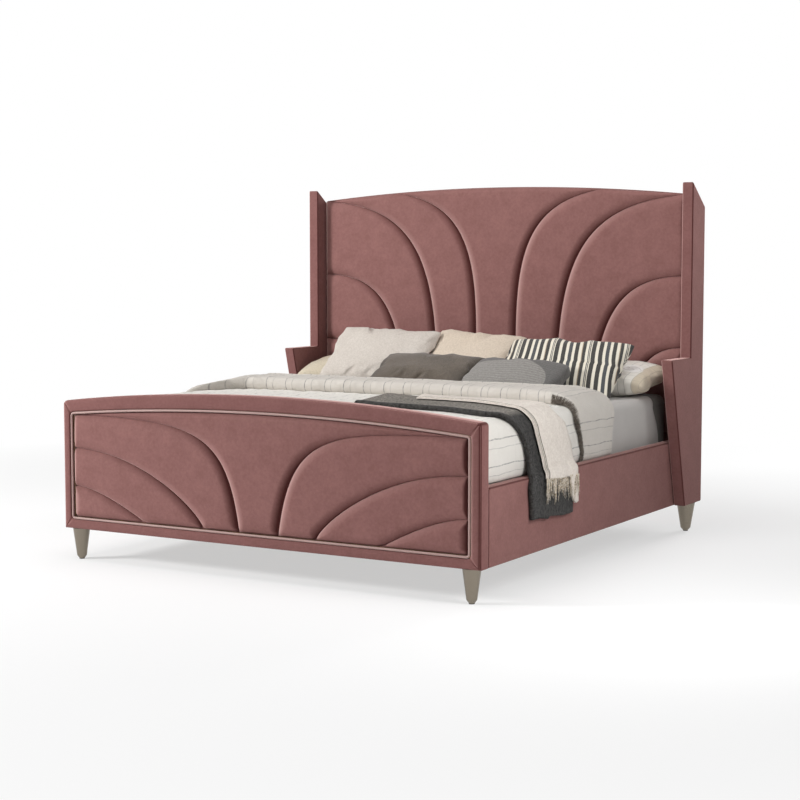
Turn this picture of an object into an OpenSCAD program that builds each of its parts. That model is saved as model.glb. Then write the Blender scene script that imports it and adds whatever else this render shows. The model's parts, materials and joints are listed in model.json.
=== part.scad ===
// King size bed: a winged headboard and a footboard with fan shaped channel pads,
// padded side rails on a slatted frame, tapered metal legs, a mattress and its bedding.
// X runs across the bed, +Y points to the head and Z is up. The origin is on the
// floor, midway across and midway along.

/* [Mattress] */
// Width of the mattress
mattress_w = 1930; // [1780:10:2000]
// Length of the mattress
mattress_l = 2030; // [1980:10:2100]
// Thickness of the mattress
mattress_h = 300; // [240:5:330]
// Gap between the mattress and each side rail
side_gap = 20; // [16:1:40]
// Gap at the foot and at the head of the mattress
end_gap = 12; // [10:1:40]

/* [Frame] */
// Height of the legs, which is that of the frame's underside
leg_h = 139; // [100:1:200]
// Height of a side rail
rail_h = 313; // [300:1:360]
// Thickness of a side rail over its padding
rail_t = 55; // [48:1:80]
// Thickness of the timber boards inside the rails
board_t = 25; // [18:1:28]
// Thickness of the padding and velvet over the timber
cover_t = 8; // [6:0.5:10]
// Depth of the slats' top below the top of the rails
deck_drop = 82; // [70:1:90]

/* [Slats] */
// Number of slats
slat_count = 13; // [9:1:15]
// Width of a slat
slat_w = 70; // [50:1:90]
// Thickness of a slat
slat_t = 18; // [15:1:22]
// Width of the ledger that carries the slats' ends
ledger_w = 30; // [25:1:40]
// Height of the ledger
ledger_h = 45; // [40:1:50]
// Width of the centre beam
beam_w = 45; // [40:1:60]
// Height of the centre beam
beam_h = 70; // [60:1:80]
// Diameter of a centre leg
support_d = 50; // [44:1:60]
// Travel of the levelling glide under a centre leg
glide_travel = 12; // [6:1:20]

/* [Footboard] */
// Thickness of the footboard
footboard_t = 75; // [68:1:90]
// Height of the footboard's top at its corners
footboard_h = 706; // [680:1:760]
// Rise of the footboard's arched top above its corners
footboard_rise = 60; // [30:1:90]
// Width of the padded border at the sides of the footboard
border_side = 42; // [36:1:70]
// Width of the padded border along the footboard's top
border_top = 49; // [45:1:70]
// Width of the padded border along the footboard's bottom
border_low = 44; // [40:1:60]
// Rise of the panel's arched top above its corners
panel_rise = 46; // [25:1:60]
// Diameter of the piping round the footboard's panel
piping_d = 10; // [8:0.5:12]
// Depth that the channel pads fill in the footboard
foot_pad_t = 20; // [16:1:24]
// Crown of the footboard's pads past the border
foot_pad_proud = 6; // [5:0.5:10]

/* [Headboard] */
// Thickness of the headboard behind its pads
headboard_t = 75; // [68:1:90]
// Height of the headboard at the wings
headboard_h = 1643; // [1560:1:1700]
// Rise of the headboard's arched top above the wings
headboard_rise = 53; // [30:1:80]
// Depth of the headboard's channel pads at their crown
head_pad_t = 26; // [22:1:32]
// Thickness of the plywood behind the pads
ply_t = 12; // [9:1:15]
// Height of the headboard's cross rails
cross_rail_h = 90; // [70:1:110]
// Height on the wing where the upper side seam of the pads ends
seam_3_end_z = 1246; // [1200:1:1300]
// Height on the wing where the lower side seam of the pads ends
seam_4_end_z = 896; // [860:1:960]
// Distance from the middle where the first seam meets the headboard's top
seam_1_end_x = 600; // [520:1:680]

/* [Wings] */
// Thickness of a wing
wing_t = 57; // [52:1:70]
// Height of a wing at its front
wing_h = 1698; // [1690:1:1740]
// Drop of the wing's top from its front to its back
wing_drop = 115; // [60:1:150]
// Depth of a wing above the arm
wing_depth = 166; // [140:1:200]
// Height of the arm's top
arm_h = 854; // [820:1:900]
// Depth of a wing and its arm along the arm's top
arm_depth = 412; // [380:1:440]
// Depth of a wing at the floor end
arm_foot_depth = 222; // [210:1:260]

/* [Legs] */
// Diameter of a front leg at its top
front_leg_d = 76; // [70:1:78]
// Diameter of a rear leg at its top
rear_leg_d = 88; // [84:1:90]
// Diameter of a front leg just above its foot
front_ankle_d = 43; // [38:1:50]
// Diameter of a rear leg just above its foot
rear_ankle_d = 48; // [40:1:54]
// Diameter of a leg's foot pad
foot_d = 24; // [20:1:30]

/* [Fasteners] */
// Diameter of the bolts
bolt_d = 8; // [6:1:8]
// Diameter of the slat screws
screw_d = 5; // [4:0.5:5]

/* [Bedding] */
// Thickness of the fitted sheet
sheet_t = 3; // [2:0.5:4]
// Thickness of the duvet on the bed's top
duvet_t = 26; // [18:1:34]
// Distance of the duvet's rear edge from the bed's middle, toward the head
duvet_rear = 235; // [200:5:260]
// Width of the duvet's turned down band, along the bed
fold_w = 310; // [240:5:340]
// Thickness of the duvet's turned down band
fold_t = 58; // [24:1:64]
// On the bed's left the band's front edge runs this far toward the foot
fold_slant = 300; // [0:10:340]
// Thickness of the folded grey throw
grey_throw_t = 18; // [12:1:22]
// Thickness of the cream throw
cream_throw_t = 8; // [6:1:12]
// Length of the cream throw's fringe
fringe_l = 125; // [50:5:140]

/* [Hidden] */
$fn = 48;

// Small running clearance, and the gap that soft pieces keep to their neighbours
fit = 0.3;
eps = 0.01;

// Legs under the centre beam, each with its own glide
support_count = 3;

// Places across the bed
rail_in_x = mattress_w / 2 + side_gap;
rail_out_x = rail_in_x + rail_t;
wing_gap = 3;
wing_in_x = rail_out_x + wing_gap;
wing_out_x = wing_in_x + wing_t;

// Places along the bed
inner_l = mattress_l + 2 * end_gap;
bed_l = foot_pad_proud + footboard_t + inner_l + head_pad_t + headboard_t;
foot_front_y = foot_pad_proud - bed_l / 2;
foot_back_y = foot_front_y + footboard_t;
head_front_y = bed_l / 2 - headboard_t;
back_y = bed_l / 2;
mattress_foot_y = foot_back_y + end_gap;
mattress_head_y = mattress_foot_y + mattress_l;

// Heights
rail_top_z = leg_h + rail_h;
deck_z = rail_top_z - deck_drop;
slat_low_z = deck_z - slat_t;
mattress_z = deck_z + fit;
mattress_top_z = mattress_z + mattress_h;
sheet_top_z = mattress_top_z + fit + sheet_t;

// Colours
velvet = "#8c6361";
timber = "#c9a97a";
plywood = "#d4b98c";
steel = "#8d8f92";
nickel = "#8b8782";
black_plastic = "#222222";

// A point on the cubic curve with control points p
function curve(p, t) =
    pow(1 - t, 3) * p[0] + 3 * pow(1 - t, 2) * t * p[1]
    + 3 * (1 - t) * t * t * p[2] + t * t * t * p[3];

function unit(v) = v / norm(v);
function left_of(v) = [-v[1], v[0]];

// Moves every side of a counter-clockwise outline inwards by d
function inset(p, d) = [
    for (i = [0 : len(p) - 1])
        let (
            a = p[(i + len(p) - 1) % len(p)],
            b = p[i],
            c = p[(i + 1) % len(p)],
            n = left_of(unit(b - a)),
            m = left_of(unit(c - b))
        )
        b + (n + m) * d / (1 + n * m)
];

// Radius of an arch that rises over a half width, and the height of its centre
function arch_r(half, rise) = (half * half + rise * rise) / (2 * rise);
function arch_centre(half, edge, rise) = edge + rise - arch_r(half, rise);
function arch_z(x, half, edge, rise) =
    arch_centre(half, edge, rise) + sqrt(pow(arch_r(half, rise), 2) - x * x);

// Outline of a board with an arched top, in X and Z. The corners are arcs that run into the
// sides and the arch, and d moves the whole outline inwards.
arch_steps = 24;
corner_steps = 6;
function arched(half, low, edge, rise, corner, low_corner = 0, d = 0) =
    let (
        r = arch_r(half, rise) - d,
        centre = arch_centre(half, edge, rise),
        h = half - d,
        c = max(corner - d, 1),
        k = max(low_corner - d, 0),
        zk = centre + sqrt(pow(r - c, 2) - pow(h - c, 2)),
        lean = atan2(h - c, zk - centre),
        turn = 90 - lean,
        z0 = low + d
    )
    concat(
        k == 0 ? [[h, z0]] : [for (i = [0 : corner_steps])
            let (a = 270 + 90 * i / corner_steps) [h - k + k * cos(a), z0 + k + k * sin(a)]],
        [for (i = [0 : corner_steps])
            let (a = turn * i / corner_steps) [h - c + c * cos(a), zk + c * sin(a)]],
        [for (i = [1 : arch_steps - 1])
            let (b = lean * (1 - 2 * i / arch_steps)) [r * sin(b), centre + r * cos(b)]],
        [for (i = [0 : corner_steps])
            let (a = 90 + lean + turn * i / corner_steps) [c - h + c * cos(a), zk + c * sin(a)]],
        k == 0 ? [[-h, z0]] : [for (i = [0 : corner_steps])
            let (a = 180 + 90 * i / corner_steps) [k - h + k * cos(a), z0 + k + k * sin(a)]]
    );

// Extrudes an outline in X and Z from y0 to y1
module board_xz(y0, y1) {
    translate([0, y1, 0])
        rotate([90, 0, 0])
            linear_extrude(y1 - y0)
                children();
}

// Extrudes an outline in Y and Z from x0 to x1
module board_yz(x0, x1) {
    translate([x0, 0, 0])
        rotate([90, 0, 90])
            linear_extrude(x1 - x0)
                children();
}

module box(low, high) {
    translate(low) cube(high - low);
}

// Copies its children to the other side of the bed
module both_sides() {
    children();
    mirror([1, 0, 0]) children();
}

// A round bar from a, along the direction of v and as long as v
module bar(a, v, d) {
    translate(a)
        rotate([0, acos(v[2] / norm(v)), atan2(v[1], v[0])])
            cylinder(d = d, h = norm(v));
}

// Closed solid between two grids of points, row by row. Seen from outside the front grid,
// columns run to the right and rows run upward.
module skin(front, back, rows, cols) {
    n = cols + 1;
    half = len(front);
    face = [
        for (i = [0 : rows - 1])
            for (j = [0 : cols - 1])
                let (a = i * n + j, b = a + 1, c = a + n, d = c + 1)
                each [[a, c, d], [a, d, b], [half + a, half + b, half + d],
                      [half + a, half + d, half + c]]
    ];
    rim = concat(
        [for (j = [0 : cols]) j],
        [for (i = [1 : rows]) i * n + cols],
        [for (j = [cols - 1 : -1 : 0]) rows * n + j],
        [for (i = [rows - 1 : -1 : 1]) i * n]
    );
    wall = [
        for (k = [0 : len(rim) - 1])
            let (a = rim[k], b = rim[(k + 1) % len(rim)])
            each [[a, b, half + b], [a, half + b, half + a]]
    ];
    polyhedron(concat(front, back), concat(face, wall), convexity = 8);
}

// Channel pads. A pad fills the space between two seams, which are curves in X and Z.
// It is domed across its width and rounded down at its ends.
pad_edge = 5;
pad_gap = 0.5;
pad_rows = 9;
pad_cols = [0, 0.05, 0.2, 0.5, 0.8, 0.95, 1];
function dome(u, power) = pow(1 - pow(abs(2 * u - 1), power), 0.5);
function pad_point(left, right, t, s, bow) =
    let (
        l = curve(left, t),
        r = curve(right, t),
        g = pad_gap / norm(r - l),
        q = l + (r - l) * (g + (1 - 2 * g) * s)
    )
    [q[0], q[1] + t * t * t * bow * (1 - pow(2 * s - 1, 2))];

module channel_pad(left, right, back_y, crown, bow = 0) {
    cells = [
        for (i = [0 : pad_rows])
            for (s = pad_cols)
                let (
                    t = i / pad_rows,
                    q = pad_point(left, right, t, s, bow),
                    rise = dome(s, 4) * dome(t, 12)
                )
                [q[0], pad_edge + (crown - pad_edge) * rise, q[1]]
    ];
    skin(
        [for (q = cells) [q[0], back_y - q[1], q[2]]],
        [for (q = cells) [q[0], back_y, q[2]]],
        pad_rows, len(pad_cols) - 1
    );
}

function mirror_seam(p) = [for (q = p) [-q[0], q[1]]];
function straight(a, b) = [a, a + (b - a) / 3, a + (b - a) * 2 / 3, b];

// Headboard
head_pad_low_z = rail_top_z + 28;
head_corner = 8;
head_top_gap = 3;
head_end_x = wing_in_x - 1;
core_front_y = head_front_y + cover_t;
frame_front_y = core_front_y + ply_t;
frame_back_y = back_y - cover_t;
post_out_x = wing_in_x - cover_t;
post_in_x = rail_in_x - 50;
post_top_z = headboard_h - cover_t - cross_rail_h - 2;
low_rail_z = slat_low_z - beam_h;
mid_rail_z = arm_h - cross_rail_h;
function head_top(x) =
    arch_z(x, wing_in_x, headboard_h, headboard_rise) - head_top_gap;
module head_outline(d = 0, low = leg_h) {
    polygon(arched(wing_in_x, low - d, headboard_h, headboard_rise, head_corner, 0, d));
}

// A seam rises straight, bends and sweeps out to its end
head_seams = [
    [[120, head_pad_low_z], [120, headboard_h - 508], [32, headboard_h - 37],
     [seam_1_end_x, head_top(seam_1_end_x)]],
    [[345, head_pad_low_z], [345, headboard_h - 434], [385, headboard_h - 38],
     [head_end_x, head_top(head_end_x)]],
    [[547, head_pad_low_z], [547, seam_3_end_z - 202], [689, seam_3_end_z + 1],
     [head_end_x, seam_3_end_z]],
    [[749, head_pad_low_z], [749, seam_4_end_z - 124], [845, seam_4_end_z + 5],
     [head_end_x, seam_4_end_z]],
    straight([head_end_x, head_pad_low_z], [head_end_x, seam_4_end_z - 30])
];

module head_pad(i) {
    color(velvet)
        channel_pad(head_seams[i - 1], head_seams[i], head_front_y, head_pad_t);
}
module headboard_pad_centre() {
    color(velvet)
        channel_pad(mirror_seam(head_seams[0]), head_seams[0], head_front_y, head_pad_t,
                    head_top(0) - head_top(seam_1_end_x));
}
module headboard_cover() {
    color(velvet) difference() {
        board_xz(head_front_y, back_y) head_outline();
        board_xz(core_front_y, frame_back_y) head_outline(cover_t, leg_h - cover_t);
        bolt_holes();
    }
}
module headboard_plywood() {
    color(plywood) difference() {
        board_xz(core_front_y, frame_front_y) head_outline(cover_t);
        bolt_holes();
    }
}
module headboard_posts() {
    color(timber) difference() {
        both_sides()
            box([post_in_x, frame_front_y, leg_h], [post_out_x, frame_back_y, post_top_z]);
        bolt_holes();
    }
}
module headboard_cross_rails() {
    color(timber) difference() {
        for (z = [low_rail_z, mid_rail_z])
            box([-post_in_x, frame_front_y, z], [post_in_x, frame_back_y, z + cross_rail_h]);
        bolt_holes();
    }
}
module headboard_top_rail() {
    color(timber)
        board_xz(frame_front_y, frame_back_y)
            difference() {
                head_outline(cover_t);
                translate([-2 * wing_in_x, 0]) square([4 * wing_in_x, post_top_z]);
            }
}

// Wings, with the arms that reach forward beside the pillows
wing_front_y = back_y - wing_depth;
arm_front_y = back_y - arm_depth;
arm_foot_y = back_y - arm_foot_depth;
arm_slope = (arm_foot_y - arm_front_y) / (arm_h - leg_h);
function wing_profile(low) = [
    [arm_front_y + arm_slope * (arm_h - low), low],
    [back_y, low],
    [back_y, wing_h - wing_drop],
    [wing_front_y, wing_h],
    [wing_front_y, arm_h],
    [arm_front_y, arm_h]
];
module wing_core() {
    color(timber) difference() {
        board_yz(wing_in_x + cover_t, wing_out_x - cover_t)
            polygon(inset(wing_profile(leg_h - cover_t), cover_t));
        bolt_holes();
        leg_bolt_holes();
    }
}
module wing_cover() {
    color(velvet) difference() {
        board_yz(wing_in_x, wing_out_x) polygon(wing_profile(leg_h));
        board_yz(wing_in_x + cover_t, wing_out_x - cover_t)
            polygon(inset(wing_profile(leg_h - 2 * cover_t), cover_t));
        bolt_holes();
    }
}

// Footboard
panel_half = rail_out_x - border_side;
panel_low_z = leg_h + border_low;
panel_edge_z = footboard_h - border_top;
foot_core_front_y = foot_front_y + foot_pad_t;
foot_core_back_y = foot_back_y - cover_t;
foot_corner = 18;
panel_corner = 18;
pad_margin = piping_d + 3 * fit;
foot_end_x = panel_half - pad_margin;
foot_pad_low_z = panel_low_z + pad_margin;
module foot_outline(d = 0, low = leg_h) {
    polygon(arched(rail_out_x, low - d, footboard_h, footboard_rise, foot_corner, 0, d));
}
function panel(d) =
    arched(panel_half, panel_low_z, panel_edge_z, panel_rise, panel_corner, panel_corner, d);
foot_seam_1_z = panel_edge_z + 1 - pad_margin;
foot_seams = [
    [[98, foot_pad_low_z], [160, foot_seam_1_z - 25], [325, foot_seam_1_z - 2],
     [foot_end_x, foot_seam_1_z]],
    [[282, foot_pad_low_z], [311, panel_low_z + 80], [600, foot_seam_1_z - 150],
     [foot_end_x, foot_seam_1_z - 148]],
    [[593, foot_pad_low_z], [700, panel_low_z + 63], [851, foot_seam_1_z - 321],
     [foot_end_x, foot_seam_1_z - 314]],
    straight([foot_end_x, foot_pad_low_z], [foot_end_x, foot_seam_1_z - 344])
];
module foot_pad(i) {
    color(velvet)
        channel_pad(foot_seams[i - 1], foot_seams[i], foot_core_front_y,
                    foot_pad_t + foot_pad_proud);
}
module footboard_pad_centre() {
    color(velvet)
        channel_pad(mirror_seam(foot_seams[0]), foot_seams[0], foot_core_front_y,
                    foot_pad_t + foot_pad_proud,
                    panel_edge_z + panel_rise - pad_margin - foot_seam_1_z);
}
module footboard_core() {
    color(timber) difference() {
        board_xz(foot_core_front_y, foot_core_back_y) foot_outline(cover_t);
        bolt_holes();
        leg_bolt_holes();
    }
}
module footboard_cover() {
    color(velvet) difference() {
        board_xz(foot_front_y, foot_back_y) foot_outline();
        board_xz(foot_core_front_y, foot_core_back_y) foot_outline(cover_t, leg_h - cover_t);
        board_xz(foot_front_y - 1, foot_core_front_y) polygon(panel(0));
        bolt_holes();
    }
}

// The piping lies just inside the edge of the recess, a little forward of it
piping_in = piping_d / 2 + fit;
piping_y = foot_front_y + piping_d / 2 - foot_pad_proud / 2;
piping_sides = 8;
module footboard_piping() {
    whole = arched(panel_half, panel_low_z, panel_edge_z, panel_rise, panel_corner,
                   panel_corner, piping_in);
    path = [for (i = [0 : 2 : len(whole) - 1]) whole[i]];
    n = len(path);
    points = [
        for (i = [0 : n - 1])
            let (side = left_of(unit(path[(i + 1) % n] - path[(i + n - 1) % n])))
            for (k = [0 : piping_sides - 1])
                let (
                    a = 360 * k / piping_sides,
                    q = path[i] + side * cos(a) * piping_d / 2
                )
                [q[0], piping_y + sin(a) * piping_d / 2, q[1]]
    ];
    faces = [
        for (i = [0 : n - 1])
            for (k = [0 : piping_sides - 1])
                let (
                    a = i * piping_sides + k,
                    b = i * piping_sides + (k + 1) % piping_sides,
                    c = (a + piping_sides) % len(points),
                    d = (b + piping_sides) % len(points)
                )
                each [[a, b, c], [b, d, c]]
    ];
    color("#b8998f") polyhedron(points, faces, convexity = 8);
}

// Side rails
rail_round = 10;
board_in_x = rail_in_x + cover_t;
module rail_outline() {
    polygon(concat(
        [[rail_in_x, leg_h], [rail_out_x, leg_h]],
        [for (a = [0 : 15 : 90])
            [rail_out_x - rail_round + rail_round * cos(a),
             rail_top_z - rail_round + rail_round * sin(a)]],
        [for (a = [90 : 15 : 180])
            [rail_in_x + rail_round + rail_round * cos(a),
             rail_top_z - rail_round + rail_round * sin(a)]]
    ));
}
module rail_board() {
    color(timber) difference() {
        box([board_in_x, foot_back_y, leg_h],
            [board_in_x + board_t, head_front_y, rail_top_z - cover_t]);
        bolt_holes();
    }
}
module rail_cover() {
    color(velvet) difference() {
        board_xz(foot_back_y, head_front_y) rail_outline();
        box([board_in_x, foot_back_y - 1, leg_h - 1],
            [board_in_x + board_t, head_front_y + 1, rail_top_z - cover_t]);
        bolt_holes();
    }
}

// Corner brackets, one in each corner under the slats
bracket_t = 4;
bracket_w = 60;
bracket_low_z = leg_h + 21;
bracket_h = 130;
bracket_bolt_z = [bracket_low_z + 30, bracket_low_z + 100];
bolt_head_d = 2 * bolt_d;
bolt_head_h = 5;
module corner_bracket() {
    box([rail_in_x - bracket_t, foot_back_y, bracket_low_z],
        [rail_in_x, foot_back_y + bracket_w, bracket_low_z + bracket_h]);
    box([rail_in_x - bracket_w, foot_back_y, bracket_low_z],
        [rail_in_x, foot_back_y + bracket_t, bracket_low_z + bracket_h]);
}
// Copies its children from the foot to the head
module both_ends() {
    children();
    translate([0, foot_back_y + head_front_y, 0]) mirror([0, 1, 0]) children();
}
module corner_brackets() {
    color(steel) difference() {
        both_sides() both_ends() corner_bracket();
        bolt_holes();
    }
}

// Bolts that hold the brackets, the beam hangers and the wings
rail_bolt_l = cover_t + board_t - 5;
board_bolt_l = 40;
hanger_t = 3;
hanger_side = 25;
hanger_bolt_z = slat_low_z - beam_h / 2;
hanger_bolt_x = beam_w / 2 + hanger_t + hanger_side / 2;
wing_bolt_z = [leg_h + 81, arm_h - 154, headboard_h - 343];
wing_bolt_y = (frame_front_y + frame_back_y) / 2;
wing_bolt_l = post_out_x - post_in_x + 2 * cover_t + 25;
// A bolt whose head bears on a face at a, with its shank along v for the length l
module bolt(a, v, l, grow = 0) {
    bar(a, v * l, bolt_d + grow);
    bar(a - v * bolt_head_h, v * (bolt_head_h + eps), bolt_head_d);
}
module each_bolt(grow = 0) {
    both_sides() {
        both_ends() {
            for (z = bracket_bolt_z) {
                bolt([rail_in_x - bracket_t, foot_back_y + bracket_w - 20, z], [1, 0, 0],
                     rail_bolt_l + bracket_t, grow);
                bolt([rail_in_x - bracket_w + 20, foot_back_y + bracket_t, z], [0, -1, 0],
                     board_bolt_l + bracket_t, grow);
            }
            bolt([hanger_bolt_x, foot_back_y + hanger_t, hanger_bolt_z], [0, -1, 0],
                 board_bolt_l + hanger_t, grow);
        }
    }
}
module each_wing_bolt(grow = 0) {
    both_sides()
        for (z = wing_bolt_z)
            bolt([post_in_x, wing_bolt_y, z], [1, 0, 0], wing_bolt_l, grow);
}
module bolt_holes() {
    each_bolt(0.2);
    each_wing_bolt(0.2);
}
module bracket_bolts() {
    color(steel) each_bolt();
}
module wing_bolts() {
    color(steel) each_wing_bolt();
}

// Slatted base
ledger_end = 70;
slat_x = rail_in_x - 2;
slat_first_y = mattress_foot_y + 30;
slat_step = (mattress_l - 60 - slat_w) / (slat_count - 1);
screw_x = rail_in_x - ledger_w / 2;
screw_l = 40;
screw_head_h = 3;
module each_screw(grow = 0) {
    both_sides()
        for (i = [0 : slat_count - 1])
            translate([screw_x, slat_first_y + slat_w / 2 + i * slat_step, deck_z]) {
                translate([0, 0, -screw_l]) cylinder(d = screw_d + grow, h = screw_l);
                translate([0, 0, -screw_head_h])
                    cylinder(d1 = screw_d, d2 = 2 * screw_d, h = screw_head_h);
            }
}
module slat_ledgers() {
    color(timber) difference() {
        both_sides()
            box([rail_in_x - ledger_w, foot_back_y + ledger_end, slat_low_z - ledger_h],
                [rail_in_x, head_front_y - ledger_end, slat_low_z]);
        each_screw(0.2);
    }
}
module slats() {
    color(plywood) difference() {
        for (i = [0 : slat_count - 1])
            translate([0, slat_first_y + i * slat_step, 0])
                box([-slat_x, 0, slat_low_z], [slat_x, slat_w, deck_z]);
        each_screw(0.2);
    }
}
module slat_screws() {
    color(steel) each_screw();
}
module centre_beam() {
    color(timber) difference() {
        box([-beam_w / 2, foot_back_y + hanger_t, slat_low_z - beam_h],
            [beam_w / 2, head_front_y - hanger_t, slat_low_z]);
        leg_bolt_holes();
    }
}
hanger_reach = 50;
module beam_hangers() {
    color(steel) difference() {
        both_ends() {
            difference() {
                box([-beam_w / 2 - hanger_t, foot_back_y, slat_low_z - beam_h - hanger_t],
                    [beam_w / 2 + hanger_t, foot_back_y + hanger_reach, slat_low_z]);
                box([-beam_w / 2, foot_back_y + hanger_t, slat_low_z - beam_h],
                    [beam_w / 2, foot_back_y + hanger_reach + 1, slat_low_z + 1]);
            }
            both_sides()
                box([beam_w / 2 + hanger_t - eps, foot_back_y, slat_low_z - beam_h],
                    [beam_w / 2 + hanger_t + hanger_side, foot_back_y + hanger_t, slat_low_z]);
        }
        bolt_holes();
    }
}

// Centre legs with their levelling glides
glide_h = 10;
glide_d = support_d - 8;
stud_d = 10;
stud_l = 38;
stud_bore_l = stud_l + 6;
support_low_z = glide_h + glide_travel + fit;
function support_y(i) = foot_back_y + inner_l * (i + 1.35) / (support_count + 1.35);
module centre_legs() {
    color(black_plastic) difference() {
        for (i = [0 : support_count - 1])
            translate([0, support_y(i), support_low_z]) difference() {
                cylinder(d = support_d, h = slat_low_z - beam_h - support_low_z);
                translate([0, 0, -1]) cylinder(d = stud_d + 2 * fit, h = stud_bore_l + 1);
            }
        leg_bolt_holes();
    }
}
module glide(i) {
    color("#55565a")
        translate([0, support_y(i), 0]) {
            cylinder(d = glide_d, h = glide_h);
            cylinder(d = stud_d, h = glide_h + stud_l);
        }
}

// Corner legs
front_leg_x = rail_out_x - 58;
front_leg_y = (foot_core_front_y + foot_core_back_y) / 2;
rear_leg_x = wing_in_x + cover_t + bolt_d / 2 + 1;
rear_leg_y = back_y - 93;
foot_pad_h = 3;
ankle_z = 16;
leg_bolt_in = 40;
leg_bolt_up = 45;
module each_leg_bolt(grow = 0) {
    both_sides() {
        bar([front_leg_x, front_leg_y, leg_h - leg_bolt_in], [0, 0, leg_bolt_in + leg_bolt_up],
            bolt_d + grow);
        bar([rear_leg_x, rear_leg_y, leg_h - leg_bolt_in], [0, 0, leg_bolt_in + leg_bolt_up],
            bolt_d + grow);
    }
    for (i = [0 : support_count - 1])
        bar([0, support_y(i), slat_low_z - beam_h - leg_bolt_in],
            [0, 0, leg_bolt_in + leg_bolt_up], bolt_d + grow);
}
module leg_bolt_holes() {
    each_leg_bolt(0.2);
}
module leg_bolts() {
    color(steel) each_leg_bolt();
}
module tapered_leg(x, y, top_d, ankle_d) {
    color(nickel) difference() {
        translate([x, y, 0]) rotate_extrude()
            polygon([[0, foot_pad_h], [foot_d / 2, foot_pad_h], [ankle_d / 2, ankle_z],
                     [top_d / 2, leg_h], [0, leg_h]]);
        leg_bolt_holes();
    }
}
module front_legs() {
    for (s = [-1, 1])
        tapered_leg(s * front_leg_x, front_leg_y, front_leg_d, front_ankle_d);
}
module rear_legs() {
    for (s = [-1, 1])
        tapered_leg(s * rear_leg_x, rear_leg_y, rear_leg_d, rear_ankle_d);
}
module leg_foot_pads() {
    color(black_plastic) both_sides() {
        translate([front_leg_x, front_leg_y, 0]) cylinder(d = foot_d, h = foot_pad_h);
        translate([rear_leg_x, rear_leg_y, 0]) cylinder(d = foot_d, h = foot_pad_h);
    }
}

// Mattress and fitted sheet
mattress_round = 40;
round_steps = 6;
function rounded_top(half, low, top, r) = concat(
    [[-half, low], [half, low]],
    [for (a = [0 : 90 / round_steps : 90]) [half - r + r * cos(a), top - r + r * sin(a)]],
    [for (a = [90 : 90 / round_steps : 180]) [r - half + r * cos(a), top - r + r * sin(a)]]
);
module mattress() {
    color("#6f6b64") intersection() {
        board_xz(mattress_foot_y, mattress_head_y)
            polygon(rounded_top(mattress_w / 2, mattress_z, mattress_top_z, mattress_round));
        translate([0, (mattress_foot_y + mattress_head_y) / 2, 0])
            board_yz(-mattress_w / 2, mattress_w / 2)
                polygon(rounded_top(mattress_l / 2, mattress_z, mattress_top_z, mattress_round));
    }
}
sheet_rear_y = mattress_head_y - 155;
sheet_low_z = rail_top_z - 40;
module fitted_sheet() {
    color("#b9b6b1")
        board_xz(mattress_foot_y + 4, sheet_rear_y)
            difference() {
                polygon(rounded_top(mattress_w / 2 + fit + sheet_t, sheet_low_z, sheet_top_z,
                                    mattress_round + sheet_t));
                polygon(rounded_top(mattress_w / 2 + fit, sheet_low_z - 1, mattress_top_z + fit,
                                    mattress_round));
            }
}

// Cloth that lies over the bed. The path is a line in X and Z from left to right, with its
// outer side on the left of its direction.
function normal_at(p, i) =
    left_of(unit(p[min(i + 1, len(p) - 1)] - p[max(i - 1, 0)]));
// Each column is [y at each row, thickness]. Columns run from the head to the foot.
module draped(path, cols, y_of, t_of) {
    rows = len(path) - 1;
    inner = [for (i = [0 : rows]) for (j = [0 : cols]) [path[i][0], y_of(i, j), path[i][1]]];
    outer = [
        for (i = [0 : rows])
            for (j = [0 : cols])
                let (q = path[i] + normal_at(path, i) * t_of(i, j))
                [q[0], y_of(i, j), q[1]]
    ];
    skin(outer, inner, rows, cols);
}

cloth_gap = 0.5;
duvet_in_x = mattress_w / 2 + fit + sheet_t + cloth_gap;
duvet_in_z = sheet_top_z + cloth_gap;
duvet_round = mattress_round + sheet_t;
duvet_low_z = rail_top_z + cloth_gap;
function arc_points(centre, r, from, to, steps) = [
    for (i = [0 : steps])
        let (a = from + (to - from) * i / steps)
        centre + r * [cos(a), sin(a)]
];
duvet_side = [
    [duvet_in_x, duvet_low_z],
    [duvet_in_x, duvet_low_z + 12],
    [duvet_in_x, duvet_low_z + 90]
];
duvet_half = concat(
    [for (x = [0, 0.35, 0.72]) [x * duvet_in_x, duvet_in_z]],
    arc_points([duvet_in_x - duvet_round, duvet_in_z - duvet_round], duvet_round, 90, 0, round_steps),
    [for (i = [2 : -1 : 0]) duvet_side[i]]
);
duvet_path = concat(
    [for (i = [len(duvet_half) - 1 : -1 : 1]) [-duvet_half[i][0], duvet_half[i][1]]],
    duvet_half
);
duvet_foot_y = mattress_foot_y - end_gap / 2;
fold_front_y = duvet_rear - fold_w;
// Columns from the head to the foot: place along the bed, and how full each layer is
duvet_cols = [
    [duvet_rear, 0.3, 0], [duvet_rear - 8, 0.9, 0.7], [duvet_rear - 35, 1, 1],
    [fold_front_y + 35, 1, 1], [fold_front_y + 8, 1, 0.8], [fold_front_y, 1, 0],
    [(fold_front_y + duvet_foot_y) / 2, 1, 0], [duvet_foot_y + 40, 1, 0],
    [duvet_foot_y, 0.4, 0]
];
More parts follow.
